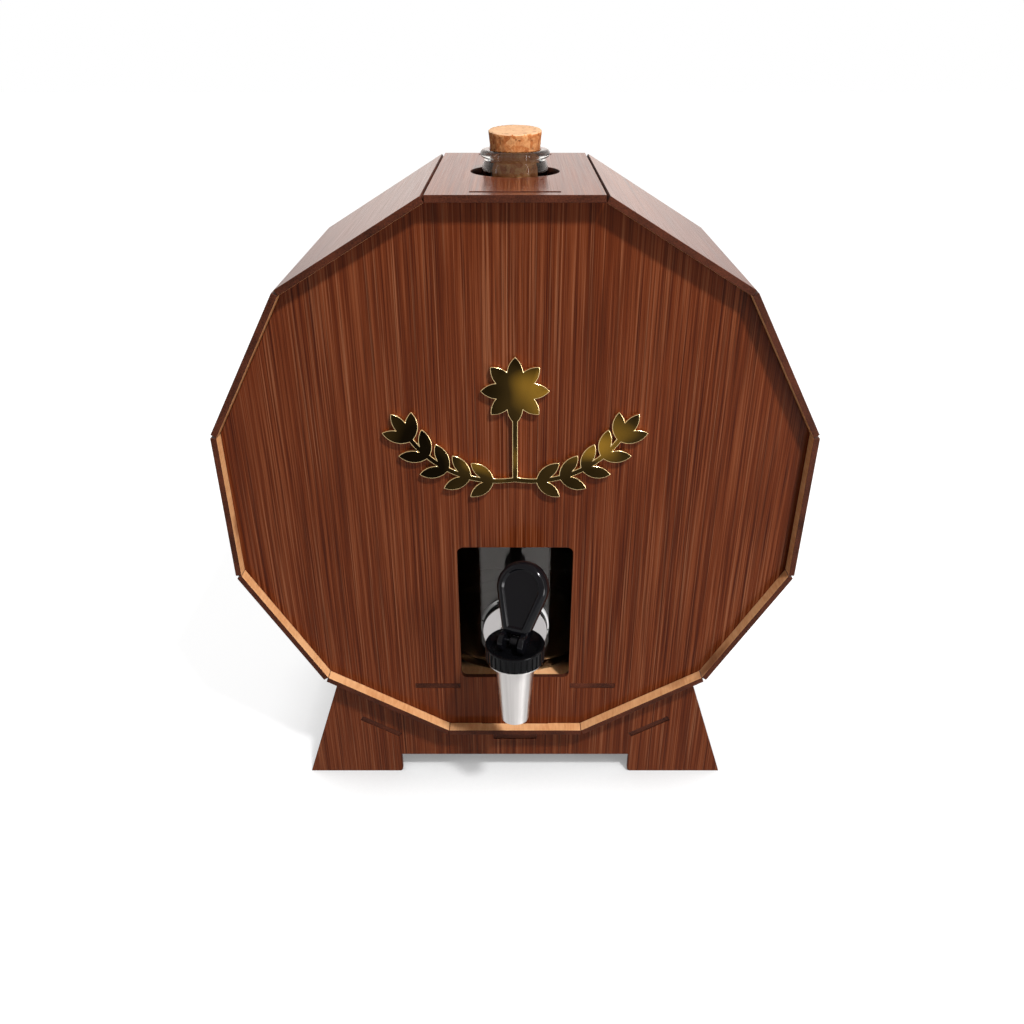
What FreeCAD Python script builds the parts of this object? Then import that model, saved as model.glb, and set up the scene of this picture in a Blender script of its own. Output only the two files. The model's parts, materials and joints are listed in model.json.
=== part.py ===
import FreeCAD, Part
import math
import os
from types import SimpleNamespace

import Sketcher
from FreeCAD import Rotation, Vector

# A twelve-sided barrel of slotted 3 mm boards on a cradle stand. It holds a glass bottle whose
# cork stands out of the top board and whose lever tap stands out of a window in the front panel.
# +X is the object's right seen from the front, +Y goes to the back and +Z is up. The origin is
# on the floor, midway across the object and midway from the tap's cap to the casing's back.
doc = FreeCAD.newDocument("cask_dispenser")

# Driving dimensions, in millimetres and degrees. Heights named _level are from the barrel's axis.
driving = {
    "board": 3.0,
    "fit_gap": 0.1,
    "run_gap": 0.05,
    "cut_through": 60.0,
    "apothem": 140.0,
    "casing_depth": 140.0,
    "axis_height": 179.7,
    "slat_gap": 0.2,
    "panel_recess": 6.5,
    "panel_tab": 38.0,
    "neck_hole": 21.0,
    "window_half": 29.8,
    "window_top_level": -24.4,
    "window_bottom_level": -106.8,
    "window_corner": 3.5,
    "shelf_level": -111.3,
    "shelf_half": 81.5,
    "tab_length": 25.0,
    "shelf_tab_inner": 30.8,
    "stand_inset": 10.0,
    "stand_gap": 0.3,
    "cradle_reach": 31.0,
    "foot_outer": 122.6,
    "foot_inner": 67.4,
    "arch_height": 13.1,
    "arch_corner": 2.0,
    "rail_width": 40.0,
    "rail_recess": 0.4,
    "rail_centre_level": -153.0,
    "rail_side_offset": 78.1,
    "rail_side_level": -145.4,
    "rail_side_angle": 30.0,
    "bottle_radius": 55.0,
    "glass": 2.4,
    "bottle_base": 6.0,
    "heel_radius": 6.0,
    "shoulder_start": 185.0,
    "shoulder_radius": 36.0,
    "neck_radius": 14.5,
    "band_radius": 15.5,
    "band_start": 249.0,
    "band_height": 10.0,
    "lip_radius": 16.3,
    "lip_height": 3.6,
    "bottle_height": 263.8,
    "cork_radius": 12.5,
    "cork_taper": 0.078,
    "cork_bottom_level": 132.3,
    "cork_front_level": 159.4,
    "cork_back_level": 161.5,
    "tap_reach": 26.0,
    "tap_level": -78.0,
    "spout_length": 30.5,
    "spout_mouth": 7.2,
    "spout_root": 10.2,
    "spout_bore": 5.0,
    "seat_depth": 6.0,
    "chamber_bore": 8.2,
    "rim_radius": 14.2,
    "rim_height": 1.2,
    "cap_radius": 15.0,
    "cap_start": 8.0,
    "cap_height": 9.0,
    "collar_radius": 11.0,
    "collar_height": 3.0,
    "cap_plate": 2.5,
    "dish_floor": 8.5,
    "dish_mouth": 13.2,
    "knurl_depth": 0.8,
    "knurl_half": 0.7,
    "knurl_count": 30.0,
    "barrel_radius": 7.5,
    "barrel_fillet": 3.0,
    "flange_start": 35.0,
    "flange_radius": 17.5,
    "flange_thick": 3.0,
    "waterway": 4.5,
    "shank_radius": 7.9,
    "shank_end": 56.0,
    "tap_hole": 8.3,
    "washer_radius": 18.5,
    "inner_washer_radius": 12.0,
    "inner_washer_end": 48.0,
    "nut_thick": 5.0,
    "nut_flats": 22.0,
    "bush_radius": 6.0,
    "bush_flange": 8.1,
    "bush_flange_thick": 2.4,
    "stem_radius": 2.0,
    "stem_collar": 4.0,
    "stem_collar_thick": 1.0,
    "eye_radius": 3.0,
    "eye_thick": 3.6,
    "seal_radius": 7.0,
    "seal_thick": 3.4,
    "spring_radius": 3.4,
    "spring_wire": 0.4,
    "spring_turns": 5.0,
    "pin_radius": 1.25,
    "pin_length": 13.6,
    "lever_yaw": -22.0,
    "lever_tilt": 22.0,
    "lever_travel": 50.0,
    "lever_length": 41.4,
    "lever_top_radius": 13.3,
    "lever_foot_half": 6.8,
    "lever_start": 4.0,
    "lever_thick": 8.5,
    "leg_gap": 8.2,
    "lever_rim": 4.4,
    "lever_rim_depth": 1.0,
    "lever_face_half": 4.7,
    "lever_face_start": 9.5,
    "cam_radius": 5.0,
    "cam_throw": 2.96,
    "cam_gap": 0.2,
    "ornament_thick": 3.0,
    "ornament_level": 14.0,
}

sheet = doc.addObject("Spreadsheet::Sheet", "Sizes")
for row, (alias, number) in enumerate(driving.items(), 1):
    sheet.set(f"A{row}", alias)
    sheet.set(f"B{row}", str(number))
    sheet.setAlias(f"B{row}", alias)
doc.recompute()


class Size:
    # A length or angle that knows its number and the sheet expression it comes from.
    def __init__(self, value, text):
        self.value = float(value)
        self.text = text

    def __add__(self, other):
        other = as_size(other)
        return Size(self.value + other.value, f"({self.text} + {other.text})")

    def __sub__(self, other):
        other = as_size(other)
        return Size(self.value - other.value, f"({self.text} - {other.text})")

    def __mul__(self, other):
        other = as_size(other)
        return Size(self.value * other.value, f"({self.text} * {other.text})")

    def __truediv__(self, other):
        other = as_size(other)
        return Size(self.value / other.value, f"({self.text} / {other.text})")

    def __neg__(self):
        return Size(-self.value, f"(-1 * {self.text})")

    def __radd__(self, other):
        return as_size(other) + self

    def __rsub__(self, other):
        return as_size(other) - self

    def __rmul__(self, other):
        return as_size(other) * self


def as_size(number):
    return number if isinstance(number, Size) else Size(number, f"{float(number):.9f}")


def cosine(degrees):
    return as_size(math.cos(math.radians(degrees)))


def sine(degrees):
    return as_size(math.sin(math.radians(degrees)))


S = SimpleNamespace(**{alias: Size(number, f"Sizes.{alias}") for alias, number in driving.items()})

SIDES = 12
STEP = 360 / SIDES
HALF_STEP = STEP / 2

# Lines in the shared frame that several pieces are placed by.
front_y = (S.tap_reach + S.cap_radius - S.casing_depth) / 2
bottle_y = front_y + S.casing_depth / 2
tap_y = front_y - S.tap_reach
shelf_z = S.axis_height + S.shelf_level
tap_z = S.axis_height + S.tap_level
plate_under = S.cap_start + S.collar_height + 2 * S.fit_gap
dish_level = plate_under + S.cap_plate
seat_level = -S.seat_depth
half_travel = driving["lever_travel"] / 2
pin_level = dish_level + S.cam_gap + S.cam_radius - S.cam_throw * sine(half_travel)


def bind(thing, path, amount):
    thing.setExpression(path, as_size(amount).text)


def new_body(label):
    body = doc.addObject("PartDesign::Body", label)
    body.Label = label
    return body


def place(thing, x, y, z, rotation=None):
    if rotation is not None:
        thing.Placement = FreeCAD.Placement(Vector(0, 0, 0), rotation)
    bind(thing, "Placement.Base.x", x)
    bind(thing, "Placement.Base.y", y)
    bind(thing, "Placement.Base.z", z)
    return thing


def turned(axis, degrees):
    return Rotation(Vector(*axis), degrees)


def new_sketch(body, plane, lift=0.0):
    drawing = body.newObject("Sketcher::SketchObject", body.Label + "_outline")
    support = [part for part in body.Origin.OriginFeatures if part.Role == plane][0]
    drawing.AttachmentSupport = [(support, "")]
    drawing.MapMode = "FlatFace"
    bind(drawing, "AttachmentOffset.Base.z", lift)
    return drawing


def fix_at(drawing, curve, end, x, y):
    # Ties one end of a curve to its place from the sketch's origin.
    for kind, axis, amount in (("DistanceX", -2, as_size(x)), ("DistanceY", -1, as_size(y))):
        if abs(amount.value) < 1e-9:
            drawing.addConstraint(Sketcher.Constraint("PointOnObject", curve, end, axis))
            continue
        rule = Sketcher.Constraint(kind, -1, 1, curve, end, amount.value)
        bind(drawing, f"Constraints[{drawing.addConstraint(rule)}]", amount)


def outline(drawing, points):
    # A closed outline through (x, y) points. A point (x, y, radius) is reached by an arc,
    # anticlockwise for a positive radius and clockwise for a negative one.
    first = drawing.GeometryCount
    places = [Vector(as_size(p[0]).value, as_size(p[1]).value, 0) for p in points]
    ends = []
    for index, start in enumerate(places):
        target = (index + 1) % len(points)
        if len(points[target]) == 2:
            drawing.addGeometry(Part.LineSegment(start, places[target]), False)
            ends.append((1, 2))
            continue
        bend = as_size(points[target][2])
        radius = abs(bend.value)
        chord = places[target] - start
        side = math.copysign(1.0, bend.value)
        rise = math.sqrt(max(radius**2 - (chord.Length / 2) ** 2, 0.0))
        across = Vector(-chord.y, chord.x, 0).normalize()
        centre = start + chord / 2 + across * rise * side
        middle = centre - across * radius * side
        arc = Part.Arc(start, middle, places[target]).toShape().Curve
        low, high = (start, places[target]) if side > 0 else (places[target], start)
        angles = [math.atan2(v.y - centre.y, v.x - centre.x) for v in (low, high)]
        if angles[1] < angles[0]:
            angles[1] += 2 * math.pi
        circle = Part.Circle(centre, Vector(0, 0, 1), arc.Radius)
        drawing.addGeometry(Part.ArcOfCircle(circle, angles[0], angles[1]), False)
        ends.append((1, 2) if side > 0 else (2, 1))
        curve = first + index
        rule = Sketcher.Constraint("Radius", curve, radius)
        length = bend if side > 0 else -bend
        bind(drawing, f"Constraints[{drawing.addConstraint(rule)}]", length)
    count = len(points)
    for index in range(count):
        after = (index + 1) % count
        near, far = first + index, first + after
        rule = Sketcher.Constraint("Coincident", near, ends[index][1], far, ends[after][0])
        drawing.addConstraint(rule)
        fix_at(drawing, near, ends[index][0], points[index][0], points[index][1])


def rectangle(drawing, left, low, right, high):
    outline(drawing, [(left, low), (right, low), (right, high), (left, high)])


def circle(drawing, x, y, radius):
    where = Vector(as_size(x).value, as_size(y).value, 0)
    curve = drawing.addGeometry(Part.Circle(where, Vector(0, 0, 1), radius.value), False)
    fix_at(drawing, curve, 3, x, y)
    rule = Sketcher.Constraint("Radius", curve, radius.value)
    bind(drawing, f"Constraints[{drawing.addConstraint(rule)}]", radius)


def feature(body, kind, drawing):
    made = body.newObject("PartDesign::" + kind, f"{body.Label}_{kind.lower()}")
    made.Profile = drawing
    drawing.Visibility = False
    return made


def pad(body, drawing, length, backwards=False, both_ways=False):
    made = feature(body, "Pad", drawing)
    bind(made, "Length", length)
    made.Reversed = backwards
    made.Midplane = both_ways
    doc.recompute()
    return made


def check_removed(body, before):
    doc.recompute()
    least_cut = 0.01
    if body.Shape.Volume > before - least_cut:
        raise RuntimeError(f"a cut in {body.Label} removed nothing")


def pocket(body, drawing, length, backwards=False, both_ways=False):
    doc.recompute()
    before = body.Shape.Volume
    made = feature(body, "Pocket", drawing)
    bind(made, "Length", length)
    made.Reversed = backwards
    made.Midplane = both_ways
    check_removed(body, before)
    return made


def revolve(body, drawing, axis, kind="Revolution"):
    doc.recompute()
    cuts = kind == "Groove"
    before = body.Shape.Volume if cuts else 0.0
    made = feature(body, kind, drawing)
    made.ReferenceAxis = (drawing, [axis])
    made.Angle = 360
    doc.recompute()
    if cuts:
        check_removed(body, before)
    return made


def polygon_points(apothem, turn=HALF_STEP):
    corner = apothem / cosine(HALF_STEP)
    angles = [turn + STEP * k for k in range(SIDES)]
    return [(corner * cosine(a), corner * sine(a)) for a in angles]


# Casing: twelve flat boards round the barrel's axis, with V-shaped gaps outside their corners.
slat_names = (
    "slat_top",
    "slat_top_right",
    "slat_upper_right",
    "slat_right",
    "slat_lower_right",
    "slat_bottom_right",
    "slat_bottom",
    "slat_bottom_left",
    "slat_lower_left",
    "slat_left",
    "slat_upper_left",
    "slat_top_left",
)


def make_slat(label, turn):
    body = new_body(label)
    half = (S.apothem * sine(HALF_STEP) / cosine(HALF_STEP)) - S.slat_gap / 2
    drawing = new_sketch(body, "XY_Plane", S.apothem)
    rectangle(drawing, -half, 0, half, S.casing_depth)
    pad(body, drawing, S.board)
    place(body, 0, front_y, S.axis_height, turned((0, 1, 0), turn))
    return body


def cut_panel_slots(body):
    # The two end panels' tabs come up through these.
    drawing = new_sketch(body, "XY_Plane", S.apothem)
    half = S.panel_tab / 2
    near = S.panel_recess - S.fit_gap
    far = S.panel_recess + S.board + S.fit_gap
    rectangle(drawing, -half, near, half, far)
    rectangle(drawing, -half, S.casing_depth - far, half, S.casing_depth - near)
    pocket(body, drawing, S.board, backwards=True)


def make_casing():
    slats = {name: make_slat(name, STEP * k) for k, name in enumerate(slat_names)}
    cut_panel_slots(slats["slat_top"])
    cut_panel_slots(slats["slat_bottom"])
    drawing = new_sketch(slats["slat_top"], "XY_Plane", S.apothem)
    circle(drawing, 0, S.casing_depth / 2, S.neck_hole)
    pocket(slats["slat_top"], drawing, S.board, backwards=True)
    return list(slats.values())


def make_panel(label, start_y):
    # A twelve-sided end board with a tab into the top slat, one into the bottom slat, and
    # slots for the bottle shelf.
    body = new_body(label)
    apothem = S.apothem - S.fit_gap
    drawing = new_sketch(body, "XZ_Plane")
    outline(drawing, polygon_points(apothem))
    pad(body, drawing, S.board, backwards=True)
    half = S.panel_tab / 2 - S.fit_gap
    tabs = new_sketch(body, "XZ_Plane")
    tip = S.apothem + S.board
    root = apothem - S.board
    rectangle(tabs, -half, root, half, tip)
    rectangle(tabs, -half, -tip, half, -root)
    pad(body, tabs, S.board, backwards=True)
    slots = new_sketch(body, "XZ_Plane")
    near = S.shelf_tab_inner
    far = near + S.tab_length
    low = S.shelf_level - S.board - S.fit_gap
    high = S.shelf_level + S.fit_gap
    rectangle(slots, near, low, far, high)
    rectangle(slots, -far, low, -near, high)
    pocket(body, slots, S.board)
    return place(body, 0, start_y, S.axis_height)


def make_front_panel():
    body = make_panel("front_panel", front_y + S.panel_recess)
    drawing = new_sketch(body, "XZ_Plane")
    half, bend = S.window_half, S.window_corner
    low, high = S.window_bottom_level, S.window_top_level
    points = [
        (half - bend, low),
        (half, low + bend, bend),
        (half, high - bend),
        (half - bend, high, bend),
        (bend - half, high),
        (-half, high - bend, bend),
        (-half, low + bend),
        (bend - half, low, bend),
    ]
    outline(drawing, points)
    pocket(body, drawing, S.board)
    return body


def make_back_panel():
    return make_panel("back_panel", front_y + S.casing_depth - S.panel_recess - S.board)


def tabbed_board(body, half_width, tab_ranges, start, end, tab_reach):
    # A flat board whose tabs stand out of both its ends.
    drawing = new_sketch(body, "XY_Plane")
    rectangle(drawing, -half_width, start, half_width, end)
    pad(body, drawing, S.board)
    tabs = new_sketch(body, "XY_Plane")
    for left, right in tab_ranges:
        rectangle(tabs, left, start - tab_reach, right, start + S.board)
        rectangle(tabs, left, end - S.board, right, end + tab_reach)
    pad(body, tabs, S.board)


def make_shelf():
    body = new_body("bottle_shelf")
    near = S.shelf_tab_inner + S.fit_gap
    far = S.shelf_tab_inner + S.tab_length - S.fit_gap
    start = S.panel_recess + S.board + S.fit_gap
    end = S.casing_depth - start
    ranges = [(-far, -near), (near, far)]
    tabbed_board(body, S.shelf_half, ranges, start, end, S.board + S.fit_gap)
    return place(body, 0, front_y, shelf_z - S.board)


# Stand: two cradle plates joined by three tabbed rails.
def make_stand_plate(label, start_y):
    body = new_body(label)
    drawing = new_sketch(body, "XZ_Plane")
    contact = S.apothem + S.board + S.stand_gap
    corner = contact * sine(HALF_STEP) / cosine(HALF_STEP)
    top_x = contact * sine(STEP) + S.cradle_reach * cosine(STEP)
    top_level = S.cradle_reach * sine(STEP) - contact * cosine(STEP)
    floor, arch = -S.axis_height, S.arch_height - S.axis_height
    inner, bend = S.foot_inner, S.arch_corner
    right = [
        (inner, arch),
        (inner, floor + bend),
        (inner + bend, floor, bend),
        (S.foot_outer, floor),
        (top_x, top_level),
        (corner, -contact),
    ]
    left = [
        (-corner, -contact),
        (-top_x, top_level),
        (-S.foot_outer, floor),
        (-inner - bend, floor),
        (-inner, floor + bend, bend),
        (-inner, arch),
    ]
    outline(drawing, right + left)
    pad(body, drawing, S.board, backwards=True)
    slots = new_sketch(body, "XZ_Plane")
    half = S.tab_length / 2
    thick = S.board / 2 + S.fit_gap
    level = S.rail_centre_level
    rectangle(slots, -half, level - thick, half, level + thick)
    lean = driving["rail_side_angle"]
    for side in (-1, 1):
        corners = ((-half, -thick), (half, -thick), (half, thick), (-half, thick))
        points = [
            (
                side * S.rail_side_offset + u * cosine(lean) - side * v * sine(lean),
                S.rail_side_level + side * u * sine(lean) + v * cosine(lean),
            )
            for u, v in corners
        ]
        outline(slots, points)
    pocket(body, slots, S.board)
    return place(body, 0, start_y, S.axis_height)


def make_rail(label, x, level, lean):
    body = new_body(label)
    half = S.tab_length / 2 - S.fit_gap
    start = S.stand_inset + S.board + S.fit_gap
    end = S.casing_depth - start
    reach = S.board + S.fit_gap - S.rail_recess
    tabbed_board(body, S.rail_width / 2, [(-half, half)], start, end, reach)
    half_board = S.board / 2
    left = x + half_board * sine(lean)
    low = S.axis_height + level - half_board * cosine(lean)
    return place(body, left, front_y, low, turned((0, 1, 0), -lean))


def make_stand():
    near = front_y + S.stand_inset
    far = front_y + S.casing_depth - S.stand_inset - S.board
    lean = driving["rail_side_angle"]
    return [
        make_stand_plate("stand_front", near),
        make_stand_plate("stand_back", far),
        make_rail("stand_rail_centre", as_size(0), S.rail_centre_level, 0),
        make_rail("stand_rail_right", S.rail_side_offset, S.rail_side_level, lean),
        make_rail("stand_rail_left", -S.rail_side_offset, S.rail_side_level, -lean),
    ]


# Bottle and cork.
def make_bottle():
    # The wall's outside rises from the heel to the lip and its inside comes back down. The
    # shoulder is a round arc that a hollow arc joins to the neck without a corner.
    body = new_body("glass_bottle")
    drawing = new_sketch(body, "XZ_Plane")
    join = 75.0
    outer, inner = S.bottle_radius, S.bottle_radius - S.glass
    centre = outer - S.shoulder_radius
    join_r = centre + S.shoulder_radius * cosine(join)
    hollow = (join_r - S.neck_radius) / (1 - cosine(join))
    neck_start = S.shoulder_start + (S.shoulder_radius + hollow) * sine(join)
    join_z = S.shoulder_start + S.shoulder_radius * sine(join)
    inside = S.shoulder_radius - S.glass
    bore = S.neck_radius - S.glass
    heel, floor = S.heel_radius, S.bottle_base
    inner_heel = heel - S.glass
    lip_start = S.bottle_height - S.lip_height
    band_end = S.band_start + S.band_height
    points = [
        (0, 0),
        (outer - heel, 0),
        (outer, heel, heel),
        (outer, S.shoulder_start),
        (join_r, join_z, S.shoulder_radius),
        (S.neck_radius, neck_start, -hollow),
        (S.neck_radius, S.band_start),
        (S.band_radius, S.band_start),
        (S.band_radius, band_end),
        (S.neck_radius, band_end),
        (S.neck_radius, lip_start),
        (S.lip_radius, lip_start),
        (S.lip_radius, S.bottle_height),
        (bore, S.bottle_height),
        (bore, neck_start),
        (
            centre + inside * cosine(join),
            S.shoulder_start + inside * sine(join),
            hollow + S.glass,
        ),
        (inner, S.shoulder_start, -inside),
        (inner, floor + inner_heel),
        (inner - inner_heel, floor, -inner_heel),
        (0, floor),
    ]
    outline(drawing, points)
    revolve(body, drawing, "V_Axis")
    hole = new_sketch(body, "XZ_Plane")
    circle(hole, 0, S.tap_level - S.shelf_level, S.tap_hole)
    pocket(body, hole, outer + S.board, backwards=True)
    return place(body, 0, bottle_y, shelf_z)


def make_cork():
    body = new_body("cork_stopper")
    low, front, back = S.cork_bottom_level, S.cork_front_level, S.cork_back_level
    bottom_r = S.cork_radius - S.cork_taper * (back - low)
    drawing = new_sketch(body, "XZ_Plane")
    outline(drawing, [(0, low), (bottom_r, low), (S.cork_radius, back), (0, back)])
    revolve(body, drawing, "V_Axis")
    slant = new_sketch(body, "YZ_Plane")
    reach = S.cork_radius
    above = back + S.board
    outline(slant, [(-reach, front), (reach, back), (reach, above), (-reach, above)])
    pocket(body, slant, S.cut_through, both_ways=True)
    return place(body, 0, bottle_y, S.axis_height)


# Tap. Its pieces' own origin is where its vertical axis meets the axis of its shank.
def make_tap_body():
    body = new_body("tap_body")
    upright = new_sketch(body, "XZ_Plane")
    collar_top = S.cap_start + S.collar_height
    rim_low = S.cap_start - S.rim_height
    points = [
        (0, -S.spout_length),
        (S.spout_mouth, -S.spout_length),
        (S.spout_root, rim_low),
        (S.rim_radius, rim_low),
        (S.rim_radius, S.cap_start),
        (S.collar_radius, S.cap_start),
        (S.collar_radius, collar_top),
        (0, collar_top),
    ]
    outline(upright, points)
    revolve(body, upright, "V_Axis")
    level = new_sketch(body, "YZ_Plane")
    flange_end = S.flange_start + S.flange_thick
    points = [
        (0, 0),
        (S.shank_end, 0),
        (S.shank_end, S.shank_radius),
        (flange_end, S.shank_radius),
        (flange_end, S.flange_radius),
        (S.flange_start, S.flange_radius),
        (S.flange_start, S.barrel_radius + S.barrel_fillet),
        (S.flange_start - S.barrel_fillet, S.barrel_radius, -S.barrel_fillet),
        (0, S.barrel_radius),
    ]
    outline(level, points)
    revolve(body, level, "H_Axis")
    bores = new_sketch(body, "XZ_Plane")
    points = [
        (0, -S.spout_length),
        (S.spout_bore, -S.spout_length),
        (S.spout_bore, seat_level),
        (S.chamber_bore, seat_level),
        (S.chamber_bore, collar_top),
        (0, collar_top),
    ]
    outline(bores, points)
    revolve(body, bores, "V_Axis", "Groove")
    waterway = new_sketch(body, "XZ_Plane")
    circle(waterway, 0, 0, S.waterway)
    pocket(body, waterway, S.shank_end)
    return place(body, 0, tap_y, tap_z)


def make_tap_cap():
    # A knurled ring with a plate in it: the collar screws in below and the lever's foot
    # stands in the dish above.
    body = new_body("tap_cap")
    drawing = new_sketch(body, "XZ_Plane")
    top = S.cap_start + S.cap_height
    bore = S.bush_radius + S.run_gap
    points = [
        (bore, plate_under),
        (S.collar_radius + S.fit_gap, plate_under),
        (S.collar_radius + S.fit_gap, S.cap_start + S.run_gap),
        (S.cap_radius, S.cap_start + S.run_gap),
        (S.cap_radius, top),
        (S.dish_mouth, top),
        (S.dish_floor, dish_level),
        (bore, dish_level),
    ]
    outline(drawing, points)
    revolve(body, drawing, "V_Axis")
    groove = new_sketch(body, "XY_Plane", S.cap_start)
    root = S.cap_radius - S.knurl_depth
    edge = S.cap_radius + S.knurl_depth
    outline(groove, [(root, 0), (edge, S.knurl_half * 2), (edge, -S.knurl_half * 2)])
    cut = pocket(body, groove, S.cap_height - S.board / 2, backwards=True)
    pattern = body.newObject("PartDesign::PolarPattern", "knurls")
    pattern.Originals = [cut]
    pattern.Axis = (groove, ["N_Axis"])
    pattern.Angle = 360
    pattern.Occurrences = int(driving["knurl_count"])
    body.Tip = pattern
    return place(body, 0, tap_y, tap_z)


def make_washers():
    # Each washer is flat on one side and follows the bottle's wall on the other. Its blank
    # runs deep enough for the wall's curve to shape all of that side.
    made = []
    blank_depth = 2 * S.board
    wall_height = 3 * S.washer_radius
    flange_end = S.flange_start + S.flange_thick
    glass_front = S.tap_reach + S.casing_depth / 2 - S.bottle_radius
    for label, radius, start, end, wall, outside in (
        ("outer_washer", S.washer_radius, flange_end, glass_front + blank_depth,
         S.bottle_radius + S.run_gap, True),
        ("inner_washer", S.inner_washer_radius, glass_front, S.inner_washer_end,
         S.bottle_radius - S.glass - S.run_gap, False),
    ):
        blank = doc.addObject("Part::Cylinder", label + "_blank")
        bind(blank, "Radius", radius)
        bind(blank, "Height", end - start)
        place(blank, 0, tap_y + start, tap_z, turned((1, 0, 0), -90))
        bore = doc.addObject("Part::Cylinder", label + "_bore")
        bind(bore, "Radius", S.shank_radius + S.fit_gap)
        bind(bore, "Height", S.shank_end)
        place(bore, 0, tap_y + flange_end - S.board, tap_z, turned((1, 0, 0), -90))
        bottle_wall = doc.addObject("Part::Cylinder", label + "_wall")
        bind(bottle_wall, "Radius", wall)
        bind(bottle_wall, "Height", wall_height)
        place(bottle_wall, 0, bottle_y, tap_z - wall_height / 2)
        ring = doc.addObject("Part::Cut", label + "_ring")
        ring.Base, ring.Tool = blank, bore
        washer = doc.addObject("Part::Cut" if outside else "Part::Common", label)
        washer.Label = label
        washer.Base, washer.Tool = ring, bottle_wall
        made.append(washer)
    return made


def make_nut():
    body = new_body("lock_nut")
    drawing = new_sketch(body, "XZ_Plane")
    corner = S.nut_flats / 2 / cosine(30)
    outline(drawing, [(corner * cosine(a), corner * sine(a)) for a in range(0, 360, 60)])
    circle(drawing, 0, 0, S.shank_radius + S.run_gap)
    pad(body, drawing, S.nut_thick, backwards=True)
    return place(body, 0, tap_y + S.inner_washer_end, tap_z)


# Valve: a bush that turns in the cap, and the stem, seal, spring and pin that rise with the lever.
valve_turn = turned((0, 0, 1), driving["lever_yaw"])


def make_guide_bush():
    body = new_body("guide_bush")
    drawing = new_sketch(body, "XZ_Plane")
    bore = S.stem_radius + S.run_gap
    flange_top = plate_under - S.fit_gap
    points = [
        (bore, flange_top - S.bush_flange_thick),
        (S.bush_flange, flange_top - S.bush_flange_thick),
        (S.bush_flange, flange_top),
        (S.bush_radius, flange_top),
        (S.bush_radius, dish_level),
        (bore, dish_level),
    ]
    outline(drawing, points)
    revolve(body, drawing, "V_Axis")
    return place(body, 0, tap_y, tap_z, valve_turn)


seal_low = seat_level + S.run_gap
seal_top = seal_low + S.seal_thick
stem_low = seal_low + S.stem_collar_thick
stem_collar_top = seal_top + S.run_gap + S.stem_collar_thick
bush_low = plate_under - S.fit_gap - S.bush_flange_thick


def make_stem():
    body = new_body("valve_stem")
    drawing = new_sketch(body, "XZ_Plane")
    low = seal_top + S.run_gap
    points = [
        (0, stem_low + S.run_gap),
        (S.stem_radius, stem_low + S.run_gap),
        (S.stem_radius, low),
        (S.stem_collar, low),
        (S.stem_collar, stem_collar_top),
        (S.stem_radius, stem_collar_top),
        (S.stem_radius, pin_level),
        (0, pin_level),
    ]
    outline(drawing, points)
    revolve(body, drawing, "V_Axis")
    eye = new_sketch(body, "YZ_Plane")
    circle(eye, 0, pin_level, S.eye_radius)
    pad(body, eye, S.eye_thick, both_ways=True)
    hole = new_sketch(body, "YZ_Plane")
    circle(hole, 0, pin_level, S.pin_radius + S.run_gap / 2)
    pocket(body, hole, S.cut_through, both_ways=True)
    return place(body, 0, tap_y, tap_z, valve_turn)


def make_seal():
    body = new_body("seat_seal")
    drawing = new_sketch(body, "XZ_Plane")
    hole = S.stem_radius + S.run_gap
    points = [
        (0, seal_low),
        (S.seal_radius, seal_low),
        (S.seal_radius, seal_top),
        (hole, seal_top),
        (hole, stem_low),
        (0, stem_low),
    ]
    outline(drawing, points)
    revolve(body, drawing, "V_Axis")
    return place(body, 0, tap_y, tap_z, valve_turn)


def make_spring():
    # A wire helix between the stem's collar and the bush.
    low = stem_collar_top + S.spring_wire + S.run_gap
    height = bush_low - S.spring_wire - S.run_gap - low
    pitch = height / S.spring_turns
    path = doc.addObject("Part::Helix", "spring_path")
    bind(path, "Pitch", pitch)
    bind(path, "Height", height)
    bind(path, "Radius", S.spring_radius)
    section = doc.addObject("Part::Circle", "spring_section")
    bind(section, "Radius", S.spring_wire)
    lean = math.degrees(math.atan2(pitch.value, 2 * math.pi * driving["spring_radius"]))
    place(section, S.spring_radius, 0, 0, turned((1, 0, 0), 90 + lean))
    spring = doc.addObject("Part::Sweep", "return_spring")
    spring.Label = "return_spring"
    spring.Sections = [section]
    spring.Spine = (path, ["Edge1"])
    spring.Solid = True
    spring.Frenet = True
    print(f"spring: least gap between turns {pitch.value - 2 * driving['spring_wire']:.2f} mm")
    return place(spring, 0, tap_y, tap_z + low)


def make_lever_pin():
    body = new_body("lever_pin")
    drawing = new_sketch(body, "YZ_Plane")
    circle(drawing, 0, 0, S.pin_radius)
    pad(body, drawing, S.pin_length, both_ways=True)
    return place(body, 0, tap_y, tap_z + pin_level, valve_turn)


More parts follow.
